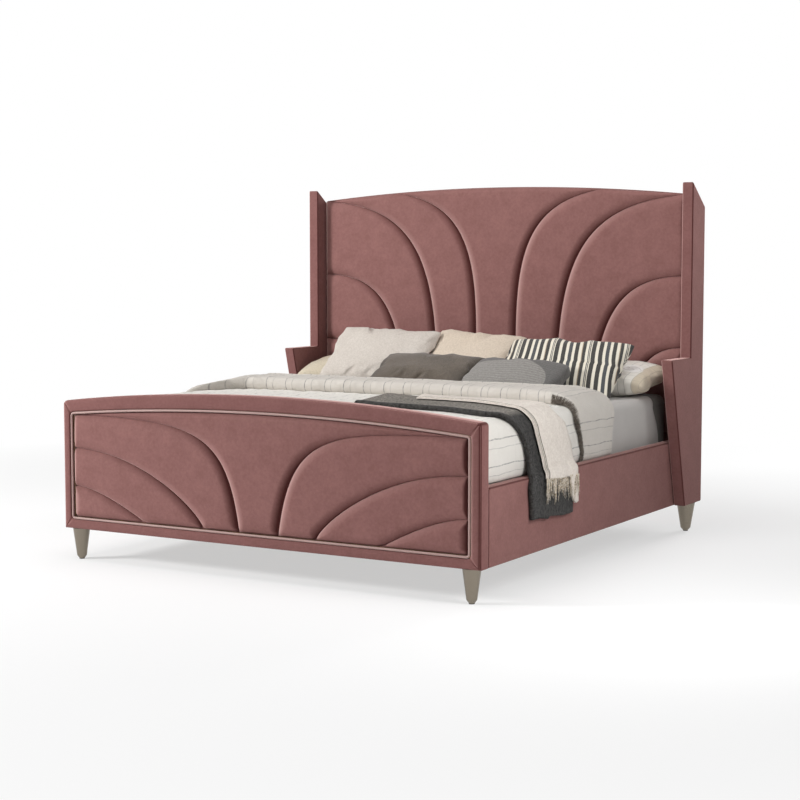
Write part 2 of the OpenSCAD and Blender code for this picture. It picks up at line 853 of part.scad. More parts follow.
// The hem is thinner than the rest, and the band is flatter on the bed's sides
function from_hem(i) = min(i, len(duvet_path) - 1 - i);
function duvet_hem(i) = [0.45, 0.85, 1][min(from_hem(i), 2)];
function fold_share(i) = [0.2, 0.2, 0.25, 0.35, 0.6, 0.85, 1][min(from_hem(i), 6)];
function fold_lean(i) =
    let (x = -duvet_path[i][0] / duvet_in_x)
    fold_slant * (x < 0.5 ? 0 : x < 0.8 ? 0.05 : x < 0.99 ? 0.78 : 1);
function fold_low(i) = duvet_path[i][0] < -0.9 * duvet_in_x ? 0.55 : 1;
module duvet() {
    color("#e4e1dd")
        draped(
            duvet_path, len(duvet_cols) - 1,
            function (i, j) duvet_cols[j][0]
                - fold_lean(i) * (j < 3 ? 0 : j < 6 ? 1 : j == 6 ? 0.35 : 0),
            function (i, j) duvet_hem(i) * (duvet_t * duvet_cols[j][1]
                + fold_t * fold_share(i) * fold_low(i) * duvet_cols[j][2])
        );
}

// The throws lie on the duvet, fall over the right rail and hang outside it
throw_gap = 0.5;
function throw_path(start_x, end_z) =
    let (
        x = duvet_in_x + duvet_t + throw_gap,
        z = duvet_in_z + duvet_t + throw_gap,
        r = duvet_round + duvet_t,
        k = rail_round + throw_gap,
        shelf = rail_top_z + throw_gap,
        out_x = rail_out_x + throw_gap
    )
    concat(
        [for (t = [0, 0.05, 0.35, 0.7]) [start_x + t * (x - r - start_x), z]],
        arc_points([x - r, z - r], r, 90, 0, round_steps),
        [[x + 3, shelf + 90], [x + 13, shelf + 32], [out_x - k - 2, shelf + 6]],
        arc_points([out_x - k, shelf - k], k, 75, 0, 3),
        [[out_x, (shelf - k + end_z) / 2], [out_x, end_z + 6], [out_x, end_z]]
    );
// The same path, laid over a layer that is d thick
function over(path, d) = [for (i = [0 : len(path) - 1]) path[i] + normal_at(path, i) * d];
// Share of the way along a throw's path, from its tip on the bed to its hem
function along(i, path) = i / (len(path) - 1);
grey_start_x = 120;
grey_hem_z = 262;
cream_start_x = 330;
cream_hem_z = 420;
layer_gap = 1;
grey_path = throw_path(grey_start_x, grey_hem_z);
cream_path = over(throw_path(cream_start_x, cream_hem_z), grey_throw_t + layer_gap);
throw_cols = [0, 0.06, 0.35, 0.65, 0.94, 1];
function edge_round(j) = j == 0 || j == len(throw_cols) - 1 ? 0.3 : j == 1 || j == 4 ? 0.85 : 1;
function row_round(i, path) = i == 0 || i == len(path) - 1 ? 0.3 : 1;
function lerp(a, b, t) = a + (b - a) * t;
// Rear and front edges of each throw, by how far along it they are
function ease(t) = t * t * (3 - 2 * t);
grey_rear = [-250, -290, -270, -290, -300];
grey_front = [-590, -835, -650, -740, -715];
cream_rear = [-235, -310, -250, -215, -250];
cream_front = [-395, -700, -560, -600, -590];
function spread(list, t) =
    let (k = min(floor(t * 4), 3), f = t * 4 - k) lerp(list[k], list[k + 1], ease(f));
module grey_throw() {
    color("#4f4d4a")
        draped(
            grey_path, len(throw_cols) - 1,
            function (i, j) lerp(spread(grey_rear, along(i, grey_path)),
                                 spread(grey_front, along(i, grey_path)), throw_cols[j]),
            function (i, j) grey_throw_t * edge_round(j) * row_round(i, grey_path)
        );
}
fringe_count = 16;
module cream_throw() {
    rear = cream_rear[4];
    front = cream_front[4];
    hem = cream_path[len(cream_path) - 1];
    color("#d9cdbb") {
        draped(
            cream_path, len(throw_cols) - 1,
            function (i, j) lerp(spread(cream_rear, along(i, cream_path)),
                                 spread(cream_front, along(i, cream_path)), throw_cols[j]),
            function (i, j) cream_throw_t * (edge_round(j) + (j % 2) * 0.35)
        );
        for (i = [0 : fringe_count - 1])
            translate([hem[0] + 2.6, lerp(front, rear, (i + 0.5) / fringe_count),
                       hem[1] - fringe_l])
                cylinder(d1 = 5, d2 = 2.4, h = fringe_l + 4, $fn = 4);
    }
}

// Pillows. Each is a crowned, closed form whose sides draw in between its corners.
pillow_n = 7;
pillow_edge = 1.5;
side_pull = 0.07;
function pillow_side(k) = -cos(180 * k / pillow_n);
function pillow_point(size, u, v, up) =
    let (plump = pow((1 - pow(abs(u), 2.4)) * (1 - pow(abs(v), 2.4)), 0.6))
    [size[0] / 2 * u * (1 - side_pull * cos(90 * v) * abs(u)),
     size[1] / 2 * v * (1 - side_pull * cos(90 * u) * abs(v)),
     up * (pillow_edge + (size[2] / 2 - pillow_edge) * plump)];
// size is width, height and thickness. place is the middle of the lower edge, its height
// above the sheet. The pillow leans back by lean degrees from lying flat.
module pillow(size, place, lean, roll, tint) {
    grid = [for (i = [0 : pillow_n]) for (j = [0 : pillow_n]) [pillow_side(j), pillow_side(i)]];
    color(tint)
        translate([place[0], place[1], sheet_top_z + place[2]])
            rotate([lean, 0, 0])
                translate([0, size[1] / 2, 0])
                    rotate([0, 0, roll])
                        skin([for (g = grid) pillow_point(size, g[0], g[1], 1)],
                             [for (g = grid) pillow_point(size, g[0], g[1], -1)],
                             pillow_n, pillow_n);
}
// Width, height and thickness of each pillow, and its place
ivory_size = [500, 340, 140];
ivory_place = [-745, 665, 39.8];
cream_size = [590, 360, 130];
cream_place = [-500, 571, 37.3];
beige_size = [510, 370, 140];
beige_place = [-5, 630, 13.5];
dark_grey_size = [590, 325, 140];
dark_grey_place = [-105, 323, 18.6];
light_grey_size = [500, 285, 125];
light_grey_place = [435, 256, 17.2];
striped_size = [650, 385, 130];
striped_place = [565, 460, 5.0];
check_size = [360, 380, 150];
check_place = [800, 625, 51.6];
module ivory_pillow() {
    pillow(ivory_size, ivory_place, 12, 0, "#cfc4b0");
}
module cream_pillow() {
    pillow(cream_size, cream_place, 44, -2, "#d8cfc4");
}
module beige_pillow() {
    pillow(beige_size, beige_place, 44, -4, "#cbb8a4");
}
module dark_grey_pillow() {
    pillow(dark_grey_size, dark_grey_place, 28, -1, "#5c5853");
}
module light_grey_pillow() {
    pillow(light_grey_size, light_grey_place, 29, -4, "#98989a");
}
module striped_pillow() {
    pillow(striped_size, striped_place, 39, -1, "#8a8178");
}
module check_pillow() {
    pillow(check_size, check_place, 8, 0, "#c7beb2");
}

// Pads, wings, rails and glides by their own names
module headboard_pad_right_1() head_pad(1);
module headboard_pad_right_2() head_pad(2);
module headboard_pad_right_3() head_pad(3);
module headboard_pad_right_4() head_pad(4);
module headboard_pad_left_1() mirror([1, 0, 0]) head_pad(1);
module headboard_pad_left_2() mirror([1, 0, 0]) head_pad(2);
module headboard_pad_left_3() mirror([1, 0, 0]) head_pad(3);
module headboard_pad_left_4() mirror([1, 0, 0]) head_pad(4);
module footboard_pad_right_1() foot_pad(1);
module footboard_pad_right_2() foot_pad(2);
module footboard_pad_right_3() foot_pad(3);
module footboard_pad_left_1() mirror([1, 0, 0]) foot_pad(1);
module footboard_pad_left_2() mirror([1, 0, 0]) foot_pad(2);
module footboard_pad_left_3() mirror([1, 0, 0]) foot_pad(3);
module right_wing_core() wing_core();
module right_wing_cover() wing_cover();
module left_wing_core() mirror([1, 0, 0]) wing_core();
module left_wing_cover() mirror([1, 0, 0]) wing_cover();
module right_rail_board() rail_board();
module right_rail_cover() rail_cover();
module left_rail_board() mirror([1, 0, 0]) rail_board();
module left_rail_cover() mirror([1, 0, 0]) rail_cover();
module foot_glide() glide(0);
module middle_glide() glide(1);
module head_glide() glide(2);

headboard_posts();
headboard_cross_rails();
headboard_top_rail();
headboard_plywood();
headboard_cover();
headboard_pad_centre();
headboard_pad_left_1();
headboard_pad_left_2();
headboard_pad_left_3();
headboard_pad_left_4();
headboard_pad_right_1();
headboard_pad_right_2();
headboard_pad_right_3();
headboard_pad_right_4();
left_wing_core();
left_wing_cover();
right_wing_core();
right_wing_cover();
wing_bolts();
footboard_core();
footboard_cover();
footboard_piping();
footboard_pad_centre();
footboard_pad_left_1();
footboard_pad_left_2();
footboard_pad_left_3();
footboard_pad_right_1();
footboard_pad_right_2();
footboard_pad_right_3();
left_rail_board();
left_rail_cover();
right_rail_board();
right_rail_cover();
slat_ledgers();
corner_brackets();
bracket_bolts();
centre_beam();
beam_hangers();
slats();
slat_screws();
centre_legs();
foot_glide();
middle_glide();
head_glide();
front_legs();
rear_legs();
leg_bolts();
leg_foot_pads();
mattress();
fitted_sheet();
duvet();
grey_throw();
cream_throw();
ivory_pillow();
cream_pillow();
beige_pillow();
dark_grey_pillow();
light_grey_pillow();
striped_pillow();
check_pillow();
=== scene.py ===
import json
import math
import random

import bmesh
import bpy
import numpy as np
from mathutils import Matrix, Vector, noise
from mathutils.bvhtree import BVHTree

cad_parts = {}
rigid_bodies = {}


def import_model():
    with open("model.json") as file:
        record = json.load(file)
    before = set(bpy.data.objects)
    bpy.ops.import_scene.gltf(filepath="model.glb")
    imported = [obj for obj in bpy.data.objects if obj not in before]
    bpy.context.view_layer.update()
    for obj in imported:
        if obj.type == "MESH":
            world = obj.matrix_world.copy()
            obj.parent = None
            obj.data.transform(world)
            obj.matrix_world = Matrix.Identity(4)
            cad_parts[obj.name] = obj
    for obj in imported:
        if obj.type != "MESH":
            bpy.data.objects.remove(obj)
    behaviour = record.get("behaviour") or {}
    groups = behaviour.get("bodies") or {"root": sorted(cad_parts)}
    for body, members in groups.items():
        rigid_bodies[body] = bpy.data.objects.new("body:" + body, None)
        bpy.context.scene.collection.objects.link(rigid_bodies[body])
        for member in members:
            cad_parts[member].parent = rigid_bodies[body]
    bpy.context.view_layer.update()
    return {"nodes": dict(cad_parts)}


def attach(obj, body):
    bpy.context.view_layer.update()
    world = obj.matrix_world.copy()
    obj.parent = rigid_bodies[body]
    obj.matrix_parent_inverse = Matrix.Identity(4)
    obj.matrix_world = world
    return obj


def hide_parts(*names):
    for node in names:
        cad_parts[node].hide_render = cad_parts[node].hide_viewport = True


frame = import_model()
MM = 0.001
BED = "bed"

# Camera at the photograph's viewing angle
scene = bpy.context.scene
cam_data = bpy.data.cameras.new("camera")
cam_data.lens = 75.98
cam_data.sensor_width = 36
cam = bpy.data.objects.new("camera", cam_data)
cam.location = (4.0051, -6.7638, 1.3312)
cam.rotation_euler = (math.radians(90 - 4.7923), 0, math.radians(30.427))
scene.collection.objects.link(cam)
scene.camera = cam
scene.view_settings.view_transform = "Standard"

# Black and white, for factors from nothing to all
NONE, FULL = [0, 0, 0, 1], [1, 1, 1, 1]


def lin(text):
    """Linear colour from a six digit sRGB code"""
    c = [int(text[i:i + 2], 16) / 255 for i in (0, 2, 4)]
    return [x / 12.92 if x <= 0.04045 else ((x + 0.055) / 1.055) ** 2.4 for x in c] + [1]


# Material building
def put(n, **values):
    """Sets a node's named inputs"""
    for key, value in values.items():
        n.inputs[key.replace("_", " ")].default_value = value


class Nodes:
    """A node tree, with short calls for plain nodes"""

    def __init__(self, tree):
        self.t = tree

    def node(self, kind, **props):
        n = self.t.nodes.new(kind)
        for key, value in props.items():
            setattr(n, key, value)
        return n

    def link(self, a, b):
        self.t.links.new(a, b)

    def feed(self, value, socket):
        """A number or a colour is set, and anything else is linked"""
        if isinstance(value, str):
            value = lin(value)
        if isinstance(value, (int, float, list, tuple)):
            socket.default_value = value
        else:
            self.link(value, socket)

    def mul(self, a, b):
        return self.math("MULTIPLY", a, b)

    def add(self, a, b):
        return self.math("ADD", a, b)

    def scaled(self, a, by, plus):
        return self.math("MULTIPLY_ADD", a, by, plus)

    def top(self, a, b):
        return self.math("MAXIMUM", a, b)

    def math(self, op, a, b=0.0, c=0.0):
        n = self.node("ShaderNodeMath", operation=op)
        for value, socket in zip((a, b, c), n.inputs):
            self.feed(value, socket)
        return n.outputs[0]

    def seen(self):
        """1 where the camera looks, straight or by a mirror or glass"""
        path = self.node("ShaderNodeLightPath").outputs
        straight_or_mirror = self.top(path["Is Camera Ray"], path["Is Glossy Ray"])
        return self.top(straight_or_mirror, path["Is Transmission Ray"])


class Look(Nodes):
    """A material on the Principled shader"""

    def __init__(self, name, rough, **sockets):
        self.m = bpy.data.materials.new(name)
        self.m.use_nodes = True
        super().__init__(self.m.node_tree)
        self.b = self.t.nodes["Principled BSDF"]
        put(self.b, Roughness=rough, **sockets)
        self.coord = self.node("ShaderNodeTexCoord")

    def place(self, scale=(1, 1, 1), uv=False):
        n = self.node("ShaderNodeMapping")
        put(n, Scale=scale)
        self.link(self.coord.outputs["UV" if uv else "Object"], n.inputs["Vector"])
        return n.outputs["Vector"]

    def cloth(self):
        """The UV, and its U and V alone"""
        at = self.place(uv=True)
        return at, self.axis(at, 0), self.axis(at, 1)

    def noise(self, scale, detail=4, rough=0.55, where=None, distortion=0):
        n = self.node("ShaderNodeTexNoise")
        put(n, Scale=scale, Detail=detail, Roughness=rough, Distortion=distortion)
        self.link(where or self.coord.outputs["Object"], n.inputs["Vector"])
        return n.outputs["Fac"]

    def wave(self, scale, where, direction="X", distortion=0, detail=1):
        n = self.node("ShaderNodeTexWave", bands_direction=direction)
        put(n, Scale=scale, Detail=detail, Distortion=distortion)
        self.link(where, n.inputs["Vector"])
        return n.outputs["Fac"]

    def ramp(self, fac, stops, kind="LINEAR"):
        n = self.node("ShaderNodeValToRGB")
        n.color_ramp.interpolation = kind
        e = n.color_ramp.elements
        while len(e) < len(stops):
            e.new(0.5)
        for i, (at, colour) in enumerate(stops):
            e[i].position = at
            e[i].color = colour if not isinstance(colour, str) else lin(colour)
        self.link(fac, n.inputs["Fac"])
        return n.outputs["Color"]

    def mix(self, fac, a, b, kind="MIX"):
        n = self.node("ShaderNodeMix", data_type="RGBA", blend_type=kind)
        for value, socket in ((fac, n.inputs[0]), (a, n.inputs[6]), (b, n.inputs[7])):
            self.feed(value, socket)
        return n.outputs[2]

    def step(self, fac, low, high):
        """Rises from 0 at low to 1 at high"""
        return self.ramp(fac, [(low, NONE), (high, FULL)])

    def axis(self, vector, which):
        n = self.node("ShaderNodeSeparateXYZ")
        self.link(vector, n.inputs[0])
        return n.outputs[which]

    def colour(self, source):
        self.link(source, self.b.inputs["Base Color"])

    def rough(self, source):
        self.link(source, self.b.inputs["Roughness"])

    def bump(self, *layers):
        """Each layer is a height and its depth in metres"""
        last = None
        for height, depth in layers:
            n = self.node("ShaderNodeBump")
            put(n, Distance=depth, Strength=1)
            self.link(height, n.inputs["Height"])
            if last:
                self.link(last, n.inputs["Normal"])
            last = n.outputs["Normal"]
        self.link(last, self.b.inputs["Normal"])


def weave(k, per_metre, at):
    """Crossed threads, as a height"""
    return k.top(k.wave(per_metre / 2, at, "X"), k.wave(per_metre / 2, at, "Y"))


# Where velvet is painted pale and deep, as painted highlight and painted shade: the lean of its
# surface, and how much
PAINTED_LIGHT_LEAN = [(0.03, 0), (0.10, 0.85), (0.25, 0.8), (0.33, 0.3), (0.46, 0)]
PAINTED_SHADE_LEAN = [(0.545, 0), (0.64, 0.4), (0.76, 0.9), (0.90, 0.9), (0.985, 0)]


# pale and deep are the colours of the painted highlight and the painted shade
def velvet_look(name, base, dark, light, pale="b5918c", deep="47211f"):
    k = Look(name, 0.95, Sheen_Weight=1.0, Sheen_Roughness=0.27, Sheen_Tint=lin("f4cdc6"),
             Specular_IOR_Level=0.12)
    nap = k.noise(11, 7, 0.66, distortion=0.3)
    cloud = k.ramp(nap, [(0.25, dark), (0.5, base), (0.75, light)])
    grain = k.noise(80, 5, 0.66)
    body = k.mix(0.42, cloud, k.ramp(grain, [(0.34, dark), (0.66, light)]))
    fine = k.noise(520, 2, 0.6)
    body = k.mix(0.12, body, k.ramp(fine, [(0.3, dark), (0.7, light)]))
    # Painted light and shade: slopes that face left, toward the key lamp, are painted pale as a
    # highlight and the others deep as shade
    lean = k.scaled(k.axis(k.coord.outputs["Normal"], 0), 0.5, 0.5)
    for stops, shade in ((PAINTED_LIGHT_LEAN, pale), (PAINTED_SHADE_LEAN, deep)):
        share = k.ramp(lean, [(at, [much] * 3 + [1]) for at, much in stops])
        body = k.mix(share, body, shade)
    k.colour(body)
    k.bump((nap, 0.0004), (grain, 0.0005), (fine, 0.0002))
    return k.m


VELVET = velvet_look("velvet", "835d5a", "78534f", "8f6763")
# A darker copy of the velvet, as painted shade, for the footboard's border and the wings
VELVET_SHADED = velvet_look("velvet_shaded", "7d5754", "724d4a", "88605d")


def piping_look():
    k = Look("piping", 0.55, Sheen_Weight=0.3, Sheen_Roughness=0.4, Specular_IOR_Level=0.35)
    k.colour(k.mix(k.noise(60, 3), "9c7f79", "ae918b"))
    k.bump((k.noise(700, 2), 0.0003), (k.noise(45, 2), 0.0012))
    return k.m


def wood_look(name, pale, dark, scale, rough=0.55):
    k = Look(name, rough)
    at = k.place(scale=scale)
    rings = k.wave(2.2, at, "X", distortion=7, detail=3)
    fine = k.noise(16, 6, 0.65, where=at)
    body = k.mix(rings, pale, dark)
    k.colour(k.mix(k.mul(fine, 0.35), body, dark))
    k.bump((fine, 0.0004))
    return k.m


def metal_look(name, base, dark, rough, stretch):
    k = Look(name, rough, Metallic=1.0)
    at = k.place(scale=stretch)
    brushed = k.noise(30, 4, 0.7, where=at)
    k.colour(k.mix(brushed, dark, base))
    k.rough(k.scaled(brushed, 0.16, rough - 0.08))
    k.bump((brushed, 0.00012))
    return k.m


def plastic_look(name, base, light):
    k = Look(name, 0.55)
    k.colour(k.mix(k.noise(25, 3), base, light))
    k.bump((k.noise(1400, 2), 0.0001))
    return k.m


PIPING = piping_look()
TIMBER = wood_look("timber", "c9a678", "a98253", scale=(30, 3, 3))
PLY = wood_look("plywood", "d6b98b", "bb9866", scale=(3, 30, 30), rough=0.5)
STEEL = metal_look("steel", "9fa1a4", "77797c", 0.38, (60, 60, 60))
NICKEL = metal_look("nickel", "a1988a", "6a6257", 0.27, (260, 260, 3))
BLACK = plastic_look("black_plastic", "17181a", "232426")
GLIDE = plastic_look("glide_plastic", "3a3b3e", "4a4b4e")


# Cloth looks. Their UV is in metres: U across the bed or pillow, V along it.
# The duvet's turned-back band shows its reverse side, so its V is moved up by this much; the look
# creases it and paints it darker, as painted shade.
BAND_UV = 10


def lines(k, coordinate, pitch, width, shift=0.0):
    """1 on thin lines at a pitch, else 0"""
    t = k.math("FRACT", k.scaled(coordinate, 1 / pitch, shift + 100))
    off = k.math("ABSOLUTE", k.math("SUBTRACT", t, 0.5))
    edge = width / pitch / 2
    soft = k.math("SUBTRACT", edge * 1.6, off)
    out = k.node("ShaderNodeMath", operation="MULTIPLY", use_clamp=True)
    k.link(soft, out.inputs[0])
    out.inputs[1].default_value = 1 / (edge * 0.6)
    return out.outputs[0]


def duvet_look():
    k = Look("duvet_cotton", 0.9, Sheen_Weight=0.12, Sheen_Roughness=0.5)
    at, u, v = k.cloth()
    turned_band = k.math("GREATER_THAN", v, BAND_UV / 2)
    wob = k.scaled(k.noise(6, 3), 0.022, -0.011)
    long = k.top(lines(k, k.add(u, wob), 0.106, 0.0034),
                 k.mul(lines(k, k.add(u, wob), 0.106, 0.0026, 0.66), 0.6))
    cross = lines(k, k.add(v, wob), 0.150, 0.0016, 0.3)
    breaks = k.ramp(k.noise(60, 2), [(0.35, [0.35] * 3 + [1]), (0.6, FULL)])
    mark = k.top(k.mul(long, 0.75), k.mul(cross, 0.14))
    mark = k.mul(mark, breaks)
    paper = k.mix(k.noise(5, 4), "d3cfc8", "e2ded7")
    body = k.mix(mark, paper, "6d6d6e")
    # The turned-back band is multiplied darker: painted shade
    k.colour(k.mix(turned_band, body, "e5e2e0", "MULTIPLY"))
    crease = k.mul(k.noise(26, 5, 0.62, distortion=0.8), turned_band)
    k.bump((k.noise(11, 5, 0.6), 0.009), (crease, 0.007), (weave(k, 900, at), 0.0002),
           (k.noise(60, 3), 0.0012))
    return k.m


def sheet_look():
    k = Look("sheet_cotton", 0.88, Sheen_Weight=0.1)
    at = k.place(uv=True)
    rib = k.wave(420, at, "Y", distortion=0.6)
    base = k.mix(k.noise(6, 4), "bab6b2", "c8c4c0")
    k.colour(k.mix(k.mul(rib, 0.22), base, "a19d98"))
    k.bump((k.noise(11, 4), 0.003), (rib, 0.0003))
    return k.m


def ticking_look():
    k = Look("ticking", 0.9, Sheen_Weight=0.1)
    at = k.place()
    across = k.place(scale=(-1, 1, 1))
    quilt = k.mul(k.wave(2.6, at, "DIAGONAL"), k.wave(2.6, across, "DIAGONAL"))
    base = k.mix(k.noise(300, 2), "56534e", "68655f")
    k.colour(k.mix(k.mul(quilt, 0.15), base, "787570"))
    k.bump((quilt, 0.004), (k.noise(800, 2), 0.0003))
    return k.m


def wool_look(name, dark, light, band=None, flat=None, rough=0.002):
    """Felted or woven wool. band is the colour of two dark strips between the folded layers along
    its front edge, flat is the colour of a painted highlight on faces that point up, away from the
    front roll."""
    k = Look(name, 0.97, Sheen_Weight=0.07, Sheen_Roughness=0.5, Specular_IOR_Level=0.1)
    at, _, v = k.cloth()
    fluff = k.noise(84, 6, 0.8)
    tufts = k.step(fluff, 0.36, 0.64)
    body = k.mix(tufts, dark, light)
    if band:
        # Two dark strips, with their places in tenths of a metre
        strip = k.ramp(k.mul(v, 10), [(0.0, NONE), (0.09, NONE), (0.11, FULL), (0.16, FULL),
                                      (0.18, NONE), (0.27, NONE), (0.29, FULL), (0.35, FULL),
                                      (0.38, NONE)])
        body = k.mix(k.mul(strip, 0.9), body, band)
    # Faces that point up, away from the front roll, are painted lighter: painted light from above
    if flat:
        up = k.step(k.axis(k.coord.outputs["Normal"], 2), 0.80, 0.99)
        up = k.mul(up, k.step(k.mul(v, 5), 0.10, 0.22))
        body = k.mix(k.mul(up, 0.75), body, k.mix(tufts, body, flat))
    k.colour(body)
    rib = k.wave(170, at, "Y", distortion=1.5)
    k.bump((k.noise(28, 3), 0.003), (rib, 0.0005), (fluff, rough))
    return k.m


def slubbed(k, base, share):
    """Uneven threads: short darker streaks both ways"""
    streak = [k.noise(70, 5, 0.75, where=k.place(uv=True, scale=s))
              for s in ((1, 3, 1), (3, 1, 1))]
    slub = k.step(k.scaled(k.add(*streak), 0.5, 0), 0.42, 0.56)
    return k.mix(k.mul(slub, share), base, "c6c1bb", "MULTIPLY")


def plain_pillow_look(name, dark, light, threads=900, sheen=0.12, tips=None):
    k = Look(name, 0.9, Sheen_Weight=sheen, Sheen_Roughness=0.45)
    at, u, _ = k.cloth()
    base = k.mix(k.noise(9, 5, 0.6), dark, light)
    base = slubbed(k, base, 0.75 if tips else 0.45)
    if tips:
        edge = k.step(k.math("ABSOLUTE", u), 0.20, 0.29)
        base = k.mix(k.mul(edge, 0.6), base, tips)
    k.colour(k.mix(k.mul(k.noise(260, 3), 0.25), base, dark))
    k.bump((k.noise(16, 4), 0.0026), (weave(k, threads, at), 0.0003))
    return k.m


def striped_look():
    k = Look("striped_cotton", 0.88, Sheen_Weight=0.1)
    at, u, v = k.cloth()
    wob = k.scaled(k.noise(9, 2), 0.002, -0.001)
    u = k.add(k.scaled(v, 0.25, u), wob)
    t = k.math("FRACT", k.scaled(u, 1 / 0.186, 50.1))
    ivory, black, tan, slate = "ddd6c6", "1d1c1b", "9c8a72", "34383c"
    stripe = k.ramp(t, [
        (0.0, black), (0.10, ivory), (0.18, black), (0.295, ivory), (0.375, slate),
        (0.47, ivory), (0.545, black), (0.65, ivory), (0.73, tan), (0.75, black),
        (0.83, ivory), (0.90, slate), (0.925, ivory), (0.94, black), (0.96, ivory),
        (0.985, black)], "CONSTANT")
    k.colour(k.mix(k.mul(k.noise(420, 2), 0.12), stripe, "8f8a80"))
    k.bump((k.noise(16, 4), 0.002), (weave(k, 800, at), 0.0003))
    return k.m


def check_look():
    """Ivory with a thin check, a pale gathered middle and a beige end"""
    k = Look("check_cotton", 0.9, Sheen_Weight=0.1)
    at, u, v = k.cloth()
    wob = k.scaled(k.noise(12, 2), 0.014, -0.007)
    grid = k.top(lines(k, k.add(u, wob), 0.036, 0.0022),
                 k.mul(lines(k, k.add(v, wob), 0.036, 0.0022), 0.6))
    du, dv = k.add(u, -0.075), k.add(v, 0.05)
    far = k.math("SQRT", k.add(k.mul(du, du), k.mul(dv, dv)))
    turn = k.mul(k.math("ARCTAN2", dv, du), 2.0)
    swirl = k.math("SINE", k.add(turn, k.mul(far, 190)))
    near = k.ramp(far, [(0.040, FULL), (0.06, NONE)])
    body = k.mix(k.mul(grid, 0.55), k.mix(k.noise(7, 3), "ddd8ce", "e9e5dd"), "86827c")
    pale = k.mix(k.mul(k.math("GREATER_THAN", swirl, 0.86), 0.5), "f3f1ed", "aaa59d")
    body = k.mix(near, body, pale)
    end = k.step(k.add(u, 0.5), 0.622, 0.628)
    tan = k.mix(k.mul(grid, 0.4), k.mix(k.noise(14, 3), "c6b8a2", "d4c8b4"), "8b8070")
    k.colour(k.mix(end, body, tan))
    k.bump((k.noise(16, 4), 0.0026), (k.mul(near, swirl), 0.0012), (weave(k, 900, at), 0.0003))
    return k.m


def two_tone_look():
    """Mid grey with a paler, finely banded panel toward its lower left"""
    k = Look("light_grey_cotton", 0.85, Sheen_Weight=0.1)
    at, u, v = k.cloth()
    a = k.math("POWER", k.top(k.scaled(u, 1 / 0.25, 0.26), 0.0), 2.6)
    b = k.math("POWER", k.top(k.scaled(v, 1 / 0.13, 0.5), 0.0), 2.2)
    panel = k.ramp(k.add(a, b), [(0.96, FULL), (1.0, NONE)])
    rib = k.wave(24, at, "Y")
    inner = k.mix(k.mul(rib, 0.45), "8e8b87", "6c6a67")
    outer = k.mix(k.noise(120, 4), "535150", "6b6967")
    k.colour(slubbed(k, k.mix(panel, outer, inner), 0.6))
    k.bump((k.noise(16, 4), 0.0022), (rib, 0.0006), (weave(k, 800, at), 0.0002))
    return k.m


DUVET = duvet_look()
SHEET = sheet_look()
TICKING = ticking_look()
# Its flat colour is a painted highlight on its upward faces
GREY_WOOL = wool_look("grey_wool", "111010", "4f4d4b", flat="b9b1a6")
CREAM_WOOL = wool_look("cream_wool", "d6ccc2", "ebe3da", band="4c4430", rough=0.0006)
CHARCOAL = wool_look("edging_yarn", "3c3731", "8b8177")


def fringe_look():
    k = Look("fringe_yarn", 0.95, Sheen_Weight=0.07, Specular_IOR_Level=0.1)
    each = k.noise(150, 2, 0.5)
    k.colour(k.ramp(each, [(0.34, "8a7a62"), (0.46, "c3b59f"), (0.60, "e3dace")]))
    k.bump((k.noise(420, 2), 0.0004))
    return k.m


FRINGE = fringe_look()
PILLOW_LOOKS = {
    "ivory_pillow": plain_pillow_look("ivory_cotton", "bfb39c", "d6ccb9"),
    "cream_pillow": plain_pillow_look("cream_cotton", "c1b8af", "d8d1c9"),
    "beige_pillow": plain_pillow_look("beige_linen", "c5b6a4", "d9ccbc", threads=600),
    "dark_grey_pillow": plain_pillow_look("taupe_satin", "423a31", "776c60", sheen=0.25,
                                          tips="2c2926"),
    "light_grey_pillow": two_tone_look(),
    "striped_pillow": striped_look(),
    "check_pillow": check_look(),
}


# Mesh building
def ripple(x, y, z):
    """Smooth noise at a point, between about -1 and 1"""
    return noise.noise(Vector((x, y, z)))


def coords(ob):
    return np.array([v.co[:] for v in ob.data.vertices])


def set_coords(ob, co):
    ob.data.vertices.foreach_set("co", co.ravel())
    ob.data.update()


def add_object(name, me, look):
    me.materials.append(look)
    me.polygons.foreach_set("use_smooth", [True] * len(me.polygons))
    ob = bpy.data.objects.new(name, me)
    scene.collection.objects.link(ob)
    return ob


def link_mesh(name, verts, faces, look, uvs=None):
    me = bpy.data.meshes.new(name)
    me.from_pydata([tuple(float(c) for c in v) for v in verts], [], faces)
    if uvs is not None:
        add_uvs(me, uvs)
    return add_object(name, me, look)


def add_uvs(me, uvs):
    layer = me.uv_layers.new(name="cloth")
    index = np.zeros(len(me.loops), dtype=np.int32)
    me.loops.foreach_get("vertex_index", index)
    layer.data.foreach_set("uv", np.asarray(uvs, dtype=np.float32)[index].ravel())


def settle(ob):
    """Applies an object's modifiers"""
    deps = bpy.context.evaluated_depsgraph_get()
    me = bpy.data.meshes.new_from_object(ob.evaluated_get(deps))
    old = ob.data
    ob.modifiers.clear()
    ob.data = me
    bpy.data.meshes.remove(old)
    return ob


def piece(ob, slot, *nodes):
    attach(ob, BED)
    if nodes:
        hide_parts(*nodes)
    return ob


def padded_piece(ob, fill, slot, *nodes):
    return piece(ob, slot, *nodes)


def grid_faces(rows, cols):
    n = cols + 1
    return [(a, a + 1, a + n + 1, a + n) for i in range(rows) for a in range(i * n, i * n + cols)]


def ring_faces(count, n, closed=False, first=True):
    """Faces between rings of n points, and over the open ends"""
    faces = []
    for r in range(count if closed else count - 1):
        a, b = r * n, (r + 1) % count * n
        faces += [(a + i, a + (i + 1) % n, b + (i + 1) % n, b + i) for i in range(n)]
    if first and not closed:
        faces.append(tuple(range(n))[::-1])
    if not closed:
        faces.append(tuple(range((count - 1) * n, count * n)))
    return faces


